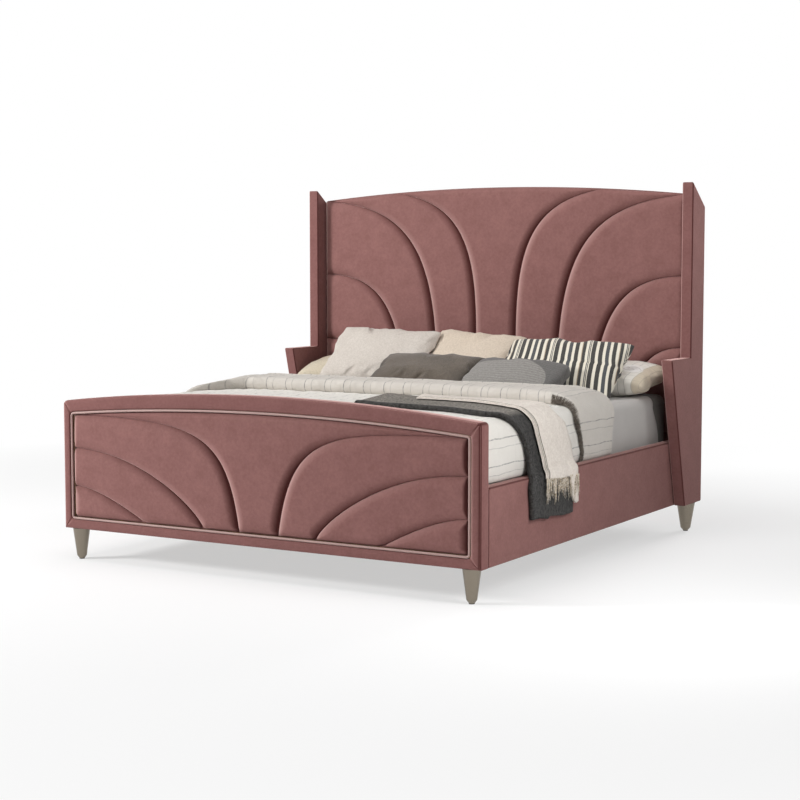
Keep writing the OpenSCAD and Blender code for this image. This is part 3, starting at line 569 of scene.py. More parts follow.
def loft(name, rings, look, first=True):
    """Closed rings of equal length, joined in order. The first can stay open."""
    faces = ring_faces(len(rings), len(rings[0]), first=first)
    ob = link_mesh(name, np.concatenate(rings), faces, look)
    fix_normals(ob)
    return ob


def fix_normals(ob):
    bm = bmesh.new()
    bm.from_mesh(ob.data)
    bmesh.ops.recalc_face_normals(bm, faces=bm.faces)
    bm.to_mesh(ob.data)
    bm.free()


def board(name, outline, axis, low, high, width, look):
    """A board with rounded edges, extruded from an outline along X or Y"""
    bm = bmesh.new()
    if axis == "y":
        pts = [(x, low, z) for x, z in outline]
        step = Vector((0, high - low, 0))
    else:
        pts = [(low, y, z) for y, z in outline]
        step = Vector((high - low, 0, 0))
    face = bm.faces.new([bm.verts.new(p) for p in pts])
    made = bmesh.ops.extrude_face_region(bm, geom=[face])["geom"]
    bmesh.ops.translate(bm, vec=step, verts=[g for g in made if isinstance(g, bmesh.types.BMVert)])
    bmesh.ops.recalc_face_normals(bm, faces=bm.faces)
    sharp = [e for e in bm.edges if e.calc_face_angle(0) > math.radians(30)]
    bmesh.ops.bevel(bm, geom=sharp, offset=width, segments=4, profile=0.5, affect="EDGES",
                    clamp_overlap=True)
    me = bpy.data.meshes.new(name)
    bm.to_mesh(me)
    bm.free()
    ob = add_object(name, me, look)
    mod = ob.modifiers.new("weighted", "WEIGHTED_NORMAL")
    mod.weight = 100
    return settle(ob)


# Outlines, as in the part's source, in millimetres
FRAME_LOW, HEAD_FACE, HEAD_BACK, WING_OUT = 139, 1043.2, 1118, 1100
CORNER_STEPS, ARCH_STEPS, SIDE_STEPS = 8, 96, 26


def arch_r(half, rise):
    return (half * half + rise * rise) / (2 * rise)


def arched(half, low, edge, rise, corner, low_corner, d, corner_steps=CORNER_STEPS,
           arch_steps=ARCH_STEPS):
    """Outline of a board with an arched top, moved inwards by d"""
    r = arch_r(half, rise) - d
    centre = edge + rise - arch_r(half, rise)
    h, c, k = half - d, max(corner - d, 0.5), max(low_corner - d, 0.5)
    zk = centre + math.sqrt((r - c) ** 2 - (h - c) ** 2)
    lean = math.atan2(h - c, zk - centre)
    turn = math.pi / 2 - lean
    z0 = low + d
    pts = []

    def arc(cx, cz, radius, start, sweep):
        for i in range(corner_steps + 1):
            a = start + sweep * i / corner_steps
            pts.append((cx + radius * math.cos(a), cz + radius * math.sin(a)))

    def between(a, b):
        for i in range(1, SIDE_STEPS):
            t = (1 - math.cos(math.pi * i / SIDE_STEPS)) / 2
            pts.append((a[0] + (b[0] - a[0]) * t, a[1] + (b[1] - a[1]) * t))

    arc(h - k, z0 + k, k, -math.pi / 2, math.pi / 2)
    between(pts[-1], (h, zk))
    arc(h - c, zk, c, 0, turn)
    for i in range(1, arch_steps):
        b = lean * 0.5 * (math.cos(math.pi * i / arch_steps) + 1 - 2 * i / arch_steps)
        pts.append((r * math.sin(b), centre + r * math.cos(b)))
    arc(c - h, zk, c, math.pi / 2 + lean, turn)
    between(pts[-1], (-h, z0 + k))
    arc(k - h, z0 + k, k, math.pi, math.pi / 2)
    between(pts[-1], pts[0])
    return np.array(pts)


def corner_marks():
    """1 at each corner's middle point, falling off over the points beside it"""
    turn, side, arch = CORNER_STEPS + 1, SIDE_STEPS - 1, ARCH_STEPS - 1
    n = 4 * turn + 3 * side + arch
    mark = np.zeros(n)
    for start in (0, turn + side, 2 * turn + side + arch, 3 * turn + 2 * side + arch):
        m = start + CORNER_STEPS // 2
        for off, value in ((0, 1.0), (1, 0.6), (2, 0.15)):
            mark[(m + off) % n] = value
            mark[(m - off) % n] = value
    return mark


# Half width, bottom, top at the sides, rise of the arch, radii of upper and lower corners
FOOT_OUT = (1040, FRAME_LOW, 706, 60, 18, 1)
PANEL = (998, 183, 657, 46, 18, 18)
HEAD_OUT = (1043, FRAME_LOW, 1643, 53, 8, 1)

# Share of the covers' and the pads' solids that padding fills
COVER_FILL, PAD_FILL = 0.95, 0.85


def ring(outline, y):
    return np.column_stack([outline[:, 0], np.full(len(outline), y), outline[:, 1]]) * MM


def footboard_cover():
    """Padded border with mitred corners, its edges and the plain back"""
    panel = lambda d: arched(*PANEL, d)
    outer = lambda d: arched(*FOOT_OUT, d)
    across = lambda w: panel(-6) * (1 - w) + outer(9) * w
    # Outline, depth and how far the mitre at the corners is drawn in
    profile = [
        (panel(0), -1092, 0), (panel(0), -1103, 0), (panel(-0.6), -1107, 0.3),
        (panel(-2.4), -1110.2, 0.8), (panel(-6), -1112.4, 1), (across(0.2), -1113.4, 1),
        (across(0.4), -1113.8, 1), (across(0.6), -1113.8, 1), (across(0.8), -1113.3, 1),
        (outer(8), -1112.8, 1), (outer(4.6), -1111.6, 1), (outer(2.2), -1109.4, 1),
        (outer(1.9), -1107.6, 0.8), (outer(3.4), -1105.9, 0.6), (outer(4.4), -1104.4, 0.4),
        (outer(3.2), -1102.9, 0.3), (outer(1.0), -1101.2, 0), (outer(0), -1098, 0),
        (outer(0), -1075, 0), (outer(0), -1050, 0), (outer(0.6), -1043, 0),
        (outer(3), -1038.6, 0), (outer(8), -1037.2, 0),
    ]
    mitre = np.outer(corner_marks(), [0, 2.4 * MM, 0])
    rings = [ring(o, y) + mitre * deep for o, y, deep in profile]
    # The border is in the darker velvet copy: painted shade
    ob = loft("footboard_upholstery", rings, VELVET_SHADED, first=False)
    # The last face is the flat back
    ob.data.polygons[-1].use_smooth = False
    padded_piece(ob, COVER_FILL, "velvet", "footboard_cover")


def tube(name, path, radius, look, sides=12):
    """A round tube along a closed line of points, in metres"""
    path = [Vector(p) for p in path]
    n = len(path)
    verts = []
    up = Vector((0, 1, 0))
    for i, p in enumerate(path):
        t = (path[(i + 1) % n] - path[i - 1]).normalized()
        s = up.cross(t)
        s = s.normalized() if s.length > 1e-4 else Vector((1, 0, 0))
        w = t.cross(s)
        verts += [p + (s * math.cos(q) + w * math.sin(q)) * radius
                  for q in (2 * math.pi * k / sides for k in range(sides))]
    ob = link_mesh(name, verts, ring_faces(n, sides, closed=True), look)
    fix_normals(ob)
    return ob


def footboard_piping():
    path = ring(arched(*PANEL, 5.3), -1110)
    piece(tube("footboard_welt", path, 5 * MM, PIPING), "piping", "footboard_piping")


def bezier(p, t):
    a, b, c, d = (np.array(q, float) for q in p)
    t = np.asarray(t)[:, None]
    return (1 - t) ** 3 * a + 3 * (1 - t) ** 2 * t * b + 3 * (1 - t) * t * t * c + t ** 3 * d


def straight(a, b):
    a, b = np.array(a, float), np.array(b, float)
    return [a, a + (b - a) / 3, a + (b - a) * 2 / 3, b]


def to_segments(points, line):
    """Least distance from each point to a polyline"""
    a, b = line[:-1], line[1:]
    ab = b - a
    ap = points[:, None, :] - a[None]
    t = np.clip((ap * ab).sum(2) / np.maximum((ab * ab).sum(1), 1e-9), 0, 1)
    return np.sqrt(((ap - ab * t[..., None]) ** 2).sum(2).min(1))


# Height of a pad's edge and crown over its board, and how wide it rounds down to its seams
PAD_EDGE, PAD_CROWN, PAD_ROUND, PAD_END_ROUND = 6, 26, 44, 24


def channel_pad(name, node, left, right, back_y, bow=0, mirror=False, rows=72, cols=30):
    """A padded channel between two seams, rounded down to them"""
    t = (1 - np.cos(math.pi * np.linspace(0, 1, rows + 1))) / 2
    t = 0.45 * t + 0.55 * np.linspace(0, 1, rows + 1)
    s = (1 - np.cos(math.pi * np.linspace(0, 1, cols + 1))) / 2
    lp, rp = bezier(left, t), bezier(right, t)
    width = np.linalg.norm(rp - lp, axis=1)
    g = 0.4 / np.maximum(width, 1)
    share = g[:, None] + (1 - 2 * g[:, None]) * s[None]
    p = lp[:, None] + (rp - lp)[:, None] * share[..., None]
    p[..., 1] += (t ** 3)[:, None] * bow * (1 - (2 * s[None] - 1) ** 2)
    flat = p.reshape(-1, 2)
    near, d = 0, 1e9
    for line, r in ((p[:, 0], PAD_ROUND), (p[:, -1], PAD_ROUND), (p[0], PAD_ROUND * 0.8),
                    (p[-1], PAD_END_ROUND)):
        gap = to_segments(flat, line)
        d = np.minimum(d, gap)
        near = near + (1 - np.minimum(gap / r, 1)) ** 5
    near = np.minimum(near, 1) ** (1 / 5)
    lift = 0.5 * np.sqrt(1 - near ** 2) + 0.5 * (1 - near ** 1.7)
    depth = PAD_EDGE + (PAD_CROWN - 1.6 - PAD_EDGE) * lift + 1.5 * (1 - np.exp(-d / 55))
    for i, (x, z) in enumerate(flat):
        n = ripple(x * 0.011, z * 0.011, back_y)
        pull = ripple(x * 0.06, z * 0.06, 7.0) * math.exp(-d[i] / 26)
        depth[i] += 0.55 * n * lift[i] + 0.7 * pull * lift[i]
    side = -1 if mirror else 1
    front = np.column_stack([flat[:, 0] * side, back_y - depth, flat[:, 1]]) * MM
    grid = np.arange(len(front)).reshape(rows + 1, cols + 1)
    edge = [int(i) for i in np.concatenate([grid[0], grid[1:, -1], grid[-1, -2::-1],
                                            grid[-2:0:-1, 0]])]
    back = front[edge].copy()
    back[:, 1] = (back_y - 0.3) * MM
    base = len(front)
    faces = grid_faces(rows, cols)
    m = len(edge)
    for k in range(m):
        faces.append((edge[k], edge[(k + 1) % m], base + (k + 1) % m, base + k))
    faces.append(tuple(base + k for k in range(m)))
    ob = link_mesh(name, np.concatenate([front, back]), faces, VELVET)
    fix_normals(ob)
    padded_piece(ob, PAD_FILL, "velvet", node)


HEAD_LOW, HEAD_END, HEAD_Y = 480, 1042, 1043


def head_top(x):
    """Height of the headboard pads' arched top, 3 mm under the cover's"""
    half, _, edge, rise = HEAD_OUT[:4]
    r = arch_r(half, rise)
    return edge + rise - r + math.sqrt(r * r - x * x) - 3


HEAD_SEAMS = [
    [(120, HEAD_LOW), (120, 1135), (32, 1606), (600, head_top(600))],
    [(345, HEAD_LOW), (345, 1209), (385, 1605), (HEAD_END, head_top(HEAD_END))],
    [(547, HEAD_LOW), (547, 1044), (689, 1247), (HEAD_END, 1246)],
    [(749, HEAD_LOW), (749, 772), (845, 901), (HEAD_END, 896)],
    straight((HEAD_END, HEAD_LOW), (HEAD_END, 866)),
]
FOOT_LOW, FOOT_END, FOOT_Y, FOOT_TOP, FOOT_MIDDLE = 194.0, 986.9, -1092, 646.9, 692.0
FOOT_SEAMS = [
    [(98, FOOT_LOW), (160, FOOT_TOP - 25), (325, FOOT_TOP - 2), (FOOT_END, FOOT_TOP)],
    [(282, FOOT_LOW), (311, 266), (600, FOOT_TOP - 150), (FOOT_END, FOOT_TOP - 148)],
    [(593, FOOT_LOW), (700, 249), (851, FOOT_TOP - 321), (FOOT_END, FOOT_TOP - 314)],
    straight((FOOT_END, FOOT_LOW), (FOOT_END, FOOT_TOP - 344)),
]


def pads():
    flip = lambda seam: [(-x, z) for x, z in seam]
    for part, seams, y, bow in (
        ("headboard", HEAD_SEAMS, HEAD_Y, head_top(0) - head_top(600)),
        ("footboard", FOOT_SEAMS, FOOT_Y, FOOT_MIDDLE - FOOT_TOP),
    ):
        channel_pad(part + "_channel_centre", part + "_pad_centre", flip(seams[0]), seams[0], y,
                    bow=bow, cols=40)
        for i in range(len(seams) - 1):
            for side in ("left", "right"):
                channel_pad(f"{part}_channel_{side}_{i + 1}", f"{part}_pad_{side}_{i + 1}",
                            seams[i], seams[i + 1], y, mirror=side == "left")


RAIL_TOP, RAIL_IN, RAIL_OUT, RAIL_ROUND, RAIL_ENDS = 452, 985, 1040, 11, (-1037, 1043)
WING = [(896, FRAME_LOW), (HEAD_BACK, FRAME_LOW), (HEAD_BACK, 1583), (952, 1698), (952, 854),
        (706, 854)]


def wings_and_rails():
    head = arched(*HEAD_OUT, 0, corner_steps=4, arch_steps=48)
    ob = board("headboard_upholstery", head * MM, "y", HEAD_FACE * MM, HEAD_BACK * MM, 6 * MM,
               VELVET)
    padded_piece(ob, COVER_FILL, "velvet", "headboard_cover")
    for side, s in (("left", -1), ("right", 1)):
        low, high = sorted((s * HEAD_FACE * MM, s * WING_OUT * MM))
        # The wings are in the darker velvet copy: painted shade
        ob = board(side + "_wing_upholstery", np.array(WING) * MM, "x", low, high, 7 * MM,
                   VELVET_SHADED)
        padded_piece(ob, COVER_FILL, "velvet", side + "_wing_cover")
        rail(side, s)


def rail(side, s):
    """Side rail with a soft, rounded top edge"""
    low, top, a, b, r = FRAME_LOW, RAIL_TOP, RAIL_IN, RAIL_OUT, RAIL_ROUND
    prof = [(a, low), (b - 3, low), (b - 0.8, low + 0.8), (b, low + 3)]
    prof += [(b, z) for z in np.linspace(low + 30, top - r - 4, 9)]
    prof += [(b - r + r * math.cos(q), top - r + r * math.sin(q))
             for q in np.linspace(0, math.pi / 2, 7)]
    prof += [(x, top + 0.6) for x in (1022, 1012, 1003)]
    prof += [(a + r + r * math.cos(q), top - r + r * math.sin(q))
             for q in np.linspace(math.pi / 2, math.pi, 7)]
    prof += [(a, z) for z in (400, 330, 260, 200)]
    foot, head = RAIL_ENDS
    ys = np.concatenate([foot + np.array([0.1, 1.5, 4, 8]), np.linspace(-1020, 1026, 104),
                         head - np.array([9, 4.5, 1.5, 0.1])])
    rings = []
    for y in ys:
        end = min(y - foot, head - y)
        pull = 2.4 * max(0.0, 1 - end / 8) ** 2
        pts = []
        for x, z in prof:
            soft = ripple(y * 0.006, z * 0.008, s) * 0.8
            out = (soft - pull) if x > 1012 else 0
            pts.append((s * (x + min(out, 0.6)), y, z - (pull if z > top - 14 else 0)))
        rings.append(np.array(pts) * MM)
    ob = loft(side + "_rail_upholstery", rings, VELVET)
    padded_piece(ob, COVER_FILL, "velvet", side + "_rail_cover")


footboard_cover()
footboard_piping()
pads()
wings_and_rails()

for names, look in (
    (("headboard_posts", "headboard_cross_rails", "headboard_top_rail", "left_wing_core",
      "right_wing_core", "footboard_core", "left_rail_board", "right_rail_board",
      "slat_ledgers", "centre_beam"), TIMBER),
    (("headboard_plywood", "slats"), PLY),
    (("wing_bolts", "corner_brackets", "bracket_bolts", "beam_hangers", "slat_screws",
      "leg_bolts"), STEEL),
    (("front_legs", "rear_legs"), NICKEL),
    (("centre_legs", "leg_foot_pads"), BLACK),
    (("foot_glide", "middle_glide", "head_glide"), GLIDE),
):
    for n in names:
        ob = frame["nodes"][n]
        ob.data.materials.clear()
        ob.data.materials.append(look)


# Bedding
MAT_X, MAT_FOOT, MAT_HEAD, MAT_LOW, MAT_TOP = 965, -1025, 1005, 370.3, 670.3
MAT_ROUND, MAT_CORNER = 40, 60
SHEET_TOP, SHEET_FOOT, SHEET_HEM, SHEET_LOOSE = 673.6, -1021, 412, 3.0


def arc(cx, cz, r, a, b, steps=12):
    return [(cx + r * math.cos(math.radians(a + (b - a) * i / steps)),
             cz + r * math.sin(math.radians(a + (b - a) * i / steps))) for i in range(steps + 1)]


class Path:
    """A line in X and Z across the bed, in millimetres, read by its length"""

    def __init__(self, points):
        self.p = np.array(points, float)
        gap = np.linalg.norm(np.diff(self.p, axis=0), axis=1)
        keep = np.concatenate([[True], gap > 1e-6])
        self.p = self.p[keep]
        self.s = np.concatenate([[0], np.cumsum(np.linalg.norm(np.diff(self.p, axis=0), axis=1))])
        self.long = self.s[-1]

    def at(self, s):
        return np.array([np.interp(s, self.s, self.p[:, 0]), np.interp(s, self.s, self.p[:, 1])])

    def out(self, s, reach=5):
        a, b = self.at(max(s - reach, 0)), self.at(min(s + reach, self.long))
        t = (b - a) / max(np.linalg.norm(b - a), 1e-9)
        return np.array([-t[1], t[0]])


def soften(points, rounds=2):
    """Cuts the corners of a line, and keeps its ends"""
    p = [np.array(q, float) for q in points]
    for _ in range(rounds):
        q = [p[0]]
        for a, b in zip(p[:-1], p[1:]):
            q += [a * 0.75 + b * 0.25, a * 0.25 + b * 0.75]
        p = q + [p[-1]]
    return p


def mattress():
    """Rounded box with a quilted top, side panels and taped edges"""
    r = MAT_ROUND
    mid = (MAT_HEAD + MAT_FOOT) / 2
    # Height and set-in of each ring, from the bottom up
    sides = [(MAT_LOW + 0.2 * r * (1 - math.cos(q)), 0.2 * r * (1 - math.sin(q)))
             for q in np.linspace(0, math.pi / 2, 6)]
    sides += [(z, 0.0) for z in np.linspace(MAT_LOW + 30, MAT_TOP - r - 10, 12)]
    sides += [(MAT_TOP - r + r * math.sin(q), r * (1 - math.cos(q)))
              for q in np.linspace(0, math.pi / 2, 10)]

    def loop(d):
        corner, pts = max(MAT_CORNER - d, 4), []
        for cx, cy, a in ((1, 1, 0), (-1, 1, 90), (-1, -1, 180), (1, -1, 270)):
            hx, hy = MAT_X - d - corner, (MAT_HEAD - MAT_FOOT) / 2 - d - corner
            for k in range(9):
                q = math.radians(a + k * 90 / 8)
                pts.append((cx * hx + corner * math.cos(q), cy * hy + corner * math.sin(q)))
        out = []
        for i, p in enumerate(pts):
            q = pts[(i + 1) % len(pts)]
            n = 30 if math.dist(p, q) > 600 else 1
            out += [(p[0] + (q[0] - p[0]) * k / n, p[1] + (q[1] - p[1]) * k / n) for k in range(n)]
        return np.array(out)

    def level(o, z):
        return np.column_stack([o[:, 0], o[:, 1] + mid, np.full(len(o), z)]) * MM

    rings = []
    for z, d in sides:
        o = loop(d)
        soft = np.array([ripple(x * 0.008, y * 0.008, z * 0.01) for x, y in o])
        pull = 1.2 * (0.5 - 0.5 * np.cos((z - MAT_LOW) / (MAT_TOP - MAT_LOW) * 2 * math.pi * 3))
        o = o * (1 - ((soft + 1.0 + pull) / 1000)[:, None] * (d < 30))
        rings.append(level(o, z))
    padded_piece(loft("mattress_body", rings, TICKING), 1.0, "ticking", "mattress")
    for label, z in (("lower", MAT_LOW + 14), ("upper", MAT_TOP - 42)):
        tape = tube(f"mattress_tape_{label}", level(loop(0.5), z), 2.6 * MM, TICKING, sides=8)
        piece(tape, "ticking")


def shell(name, path, stations, contour, look, wave=None):
    """A closed cloth over the bed. contour(s) gives (y, height) round it at one station."""
    rings, uvs = [], []
    for s in stations:
        c = contour(s)
        base, out = path.at(s), path.out(s)
        r = []
        for y, h in c:
            lift = h + (wave(s, y, h) if wave else 0)
            r.append((base[0] + out[0] * lift, y, base[1] + out[1] * lift))
            uvs.append((s * MM, y * MM))
        rings.append(np.array(r) * MM)
    ob = loft(name, rings, look)
    add_uvs(ob.data, uvs)
    return ob


def mirror_path(half):
    return [(-x, z) for x, z in half[::-1]] + half


def fitted_sheet():
    r, x, z = MAT_ROUND, MAT_X + 0.3, MAT_TOP + 0.3
    half = [(0, z)] + arc(x - r, z - r, r, 90, 0) + [(x, SHEET_HEM)]
    path = Path(mirror_path(half))
    stations = np.concatenate([np.linspace(0, 260, 24), np.linspace(270, path.long - 270, 50),
                               np.linspace(path.long - 260, path.long, 24)])

    def contour(s):
        from_hem = min(s, path.long - s)
        rear = np.interp(from_hem, [0, 60, 130, 200, 262, 330], [886, 872, 848, 800, 806, 846])
        rear += 3 * ripple(s * 0.02, 3.0, 0)
        low = [(y, 0.1) for y in np.linspace(SHEET_FOOT, rear - 1, 24)]
        top = [(y, SHEET_LOOSE) for y in np.linspace(rear - 1.5, SHEET_FOOT + 1, 84)]
        return low + [(rear, SHEET_LOOSE / 2)] + top + [(SHEET_FOOT - 0.5, SHEET_LOOSE / 2)]

    def wave(s, y, h):
        if h < SHEET_LOOSE:
            return 0
        from_hem = min(s, path.long - s)
        a = ripple(s * 0.012, y * 0.03, 1.0) + 0.5 * ripple(s * 0.03, y * 0.08, 5.0)
        tuck = math.exp(-from_hem / 90) * abs(math.sin(y * 0.045 + 2 * ripple(y * 0.01, 0, 0)))
        return -1.3 * abs(a) - tuck

    ob = shell("bed_sheet", path, stations, contour, SHEET, wave)
    piece(ob, "sheet", "fitted_sheet")


DUVET_X, DUVET_Z, DUVET_T, DUVET_REAR = MAT_X + 3.8, SHEET_TOP + 0.5, 26, 235
DUVET_ROUND, DUVET_LOW, DUVET_FOOT, BAND_T = 43, RAIL_TOP + 0.5, -1029, 63
DUVET_LINE = Path(mirror_path(
    [(0, DUVET_Z)] + arc(DUVET_X - DUVET_ROUND, DUVET_Z - DUVET_ROUND, DUVET_ROUND, 90, 0)
    + [(DUVET_X, DUVET_LOW)]))
DUVET_MID = DUVET_LINE.long / 2
# Points of the duvet's round outline: underside, rear edge, top of the band, its front roll
LOW_POINTS, BACK_POINTS, BAND_POINTS, ROLL_POINTS = 44, 12, 33, 13
# Front edge of the turned-back band, by distance along the line from the middle
BAND_EDGE = [[-DUVET_MID, -1050, -1000, -950, -905, -860, -800, -700, -477, -194, 74, 254, 453,
              702, 900, 985, 1060, 1130, DUVET_MID],
             [-400, -395, -372, -310, -215, -120, -62, -42, -28, -5, 5, -5, -25,
              -65, -130, -160, -112, -86, -95]]
# Shares of the duvet's and the band's thickness, by distance from the hem
DUVET_FULL = [[0, 3, 8, 14, 110], [0.7, 0.85, 0.97, 1.02, 1]]
BAND_FULL = [[0, 6, 24, 110, 210, 262, 330], [0.24, 0.24, 0.26, 0.32, 0.55, 0.82, 1.0]]


def band_front(x):
    return np.interp(x, *BAND_EDGE) + 5 * ripple(x * 0.012, 0, 2)


def thickness(s):
    """Of the duvet and of its band, at one station"""
    hem = min(s, DUVET_LINE.long - s)
    return DUVET_T * np.interp(hem, *DUVET_FULL), BAND_T * np.interp(hem, *BAND_FULL)


def duvet():
    long = DUVET_LINE.long
    near_hem = np.concatenate([[0, 1.2, 3, 6, 11], np.linspace(18, 330, 44)])
    stations = np.concatenate([near_hem, np.linspace(338, long - 338, 130),
                               (long - near_hem)[::-1]])

    def contour(s):
        x = s - DUVET_MID
        front = band_front(x)
        body, band = thickness(s)
        left = np.interp(x, [-990, -940, -890, -840], [0.62, 0.7, 0.86, 1])
        band = body + band * left
        rear = DUVET_REAR + 4 * ripple(x * 0.01, 5, 0) - 4
        deep = band * 0.45
        low = [(y, 0.0) for y in np.linspace(DUVET_FOOT, rear - deep, LOW_POINTS)]
        q = np.linspace(-math.pi / 2, math.pi / 2, BACK_POINTS + 1)[1:]
        back = [(rear - deep + deep * math.cos(a), band / 2 + band / 2 * math.sin(a)) for a in q]
        wide = 14 + 0.22 * (band - body)
        flat = np.linspace(rear - deep, front + wide, BAND_POINTS + 1)[1:]
        a, c = flat[0], flat[-1]
        top = [(y, band - 5 + 5 * (1 - ((y - (a + c) / 2) / (a - c) * 2) ** 2)) for y in flat]
        r = (band - body) / 2 + 0.5
        q = np.linspace(math.pi / 2, math.pi * 1.44, ROLL_POINTS + 1)[1:]
        roll = [(front + wide + wide * math.cos(a), band - 5 - r + r * math.sin(a)) for a in q]
        ys = front + 5 - (front + 5 - DUVET_FOOT) * np.linspace(0, 1, 90) ** 1.15
        body_top = [(y, body) for y in ys[1:]]
        nose = [(DUVET_FOOT - 2, body * share) for share in (0.72, 0.3)]
        return low + back + top + roll + body_top + nose

    def wave(s, y, h):
        if h < 5:
            return 0
        x = s - DUVET_MID
        front = np.interp(x, *BAND_EDGE)
        amount = min(h / DUVET_T, 1)
        soft = ripple(x * 0.005, y * 0.005, 0)
        small = ripple(x * 0.016, y * 0.011, 9)
        crease = abs(ripple(x * 0.010 + y * 0.006, y * 0.022 - x * 0.004, 4))
        if y > front:
            pucker = math.sin(x * 0.105 + 1.5 * ripple(x * 0.02, 1, 1))
            near = math.exp(-max(y - front, 0) / 26)
            return amount * (-2.4 + 2.2 * soft + 1.8 * small - 2.6 * crease
                             + 1.5 * pucker * near)
        # The duvet lies flatter under the throws
        under = 0.25 if x > 100 and -900 < y < -230 else 1.0
        near = math.exp(-(front - y) / 34)
        gather = math.sin(x * 0.08 + 2 * ripple(x * 0.02, 7, 1)) * near
        return amount * under * min(0.0, -2.6 + 2.4 * soft + 1.5 * small - 3.4 * (0.24 - crease) * 2
                                    + 1.2 * gather)

    ob = shell("duvet_quilt", DUVET_LINE, stations, contour, DUVET, wave)
    layer = ob.data.uv_layers["cloth"].data
    size = len(contour(DUVET_MID))
    band_start = LOW_POINTS - 4
    band_end = LOW_POINTS + BACK_POINTS + BAND_POINTS + ROLL_POINTS - 2
    for i, loop in enumerate(ob.data.loops):
        if band_start <= loop.vertex_index % size < band_end:
            layer[i].uv.y += BAND_UV
    padded_piece(ob, 0.35, "duvet", "duvet")


# A thread's radius at its root and at its tip
YARN = (0.95 * MM, 0.45 * MM)


def strand(points, r0, r1, sides=3):
    """Vertices and faces of one thin tapering thread"""
    pts = [Vector(p) for p in points]
    verts = []
    for i, p in enumerate(pts):
        t = (pts[min(i + 1, len(pts) - 1)] - pts[max(i - 1, 0)]).normalized()
        a = t.orthogonal().normalized()
        b = t.cross(a)
        r = r0 + (r1 - r0) * i / (len(pts) - 1)
        for k in range(sides):
            q = 2 * math.pi * k / sides
            verts.append(p + (a * math.cos(q) + b * math.sin(q)) * r)
    return verts, ring_faces(len(pts), sides)


def bundle(name, threads, look):
    verts, faces, uvs = [], [], []
    for v, f in threads:
        base = len(verts)
        verts += v
        uvs += [(p.z, 0.5 + p.y * 0.01) for p in v]
        faces += [tuple(base + i for i in q) for q in f]
    return link_mesh(name, verts, faces, look, uvs)


EDGING_START, EDGING_COUNT = 868, 900


def band_edging():
    """Short charcoal threads along the band's front edge, on the right side of the bed"""
    rng = random.Random(11)
    threads = []
    for k in range(EDGING_COUNT):
        x = EDGING_START + (DUVET_MID - 4 - EDGING_START) * (k + rng.random()) / EDGING_COUNT
        s = x + DUVET_MID
        front = band_front(x)
        body, band = thickness(s)
        out = DUVET_LINE.out(s)
        h = body + band * rng.uniform(0.25, 0.75)
        reach = rng.uniform(6, 17) * np.interp(x, [EDGING_START, 930], [0.3, 1])
        slide = rng.uniform(-5, 5)
        pts = []
        for t in (0, 0.35, 0.7, 1):
            hh = h - (h - body - 1.4) * t ** 1.6
            y = front + 5 - (reach + 5) * t
            q = DUVET_LINE.at(s + slide * t) + out * hh
            pts.append(Vector((q[0], y, q[1])) * MM)
        threads.append(strand(pts, *YARN))
    piece(bundle("duvet_edging", threads, CHARCOAL), "grey_wool")


def fold_line(width, edges, t, gap, bulge, steps):
    """Middle line of a cloth folded back and forth: (from its front edge, height)"""
    line = []
    n = len(edges) * 2
    for i in range(n):
        front, rear = edges[i // 2], width - (4 if 0 < i < n - 1 else 0)
        h0 = t / 2 + i * (t + gap)
        v = front + (rear - front) * np.linspace(0, 1, steps) ** 1.5
        h = h0 + (bulge * np.exp(-(v / 34) ** 2) if i else 0 * v)
        pts = list(zip(v, h))
        line += pts[::-1] if i % 2 == 0 else pts
        if i == n - 1:
            break
        if i % 2 == 0:
            top = h0 + t + gap + bulge * math.exp(-(front / 34) ** 2)
            low = pts[0][1]
            c, r = (top + low) / 2, (top - low) / 2
            line += [(front - r * 0.9 * math.sin(a), c - r * math.cos(a))
                     for a in np.linspace(0, math.pi, 8)[1:-1]]
        else:
            c, r = h0 + (t + gap) / 2, (t + gap) / 2
            line += [(rear + r * math.sin(a), c - r * math.cos(a))
                     for a in np.linspace(0, math.pi, 6)[1:-1]]
    return np.array(line)


def around(line, t):
    """Closed outline at half a thickness from a middle line"""
    d = np.gradient(line, axis=0)
    d /= np.maximum(np.linalg.norm(d, axis=1), 1e-9)[:, None]
    n = np.column_stack([-d[:, 1], d[:, 0]]) * t / 2
    return np.concatenate([line + n, (line - n)[::-1]])


def throw_path(start, end, extra=0.0):
    x, z, r = DUVET_X + DUVET_T + 0.5, DUVET_Z + DUVET_T + 0.5, DUVET_ROUND + DUVET_T
    k, shelf, out_x = 10.5, RAIL_TOP + 0.5, RAIL_OUT + 0.5
    fall = [(x, z - r), (x + 3, shelf + 90), (x + 13, shelf + 32), (out_x - k - 4, shelf + 6)]
    pts = [(start, z)] + arc(x - r, z - r, r, 90, 0, 16) + soften(fall, 3)
    pts += arc(out_x - k, shelf - k, k, 75, 0, 8) + [(out_x, end)]
    p = Path(pts)
    if extra:
        s = np.linspace(0, p.long, int(p.long / 6))
        p = Path([tuple(p.at(q) + p.out(q, 14) * extra) for q in s])
    return p


def read(pairs, s):
    """The second value of a list of pairs, at a first one"""
    return float(np.interp(s, *zip(*pairs)))


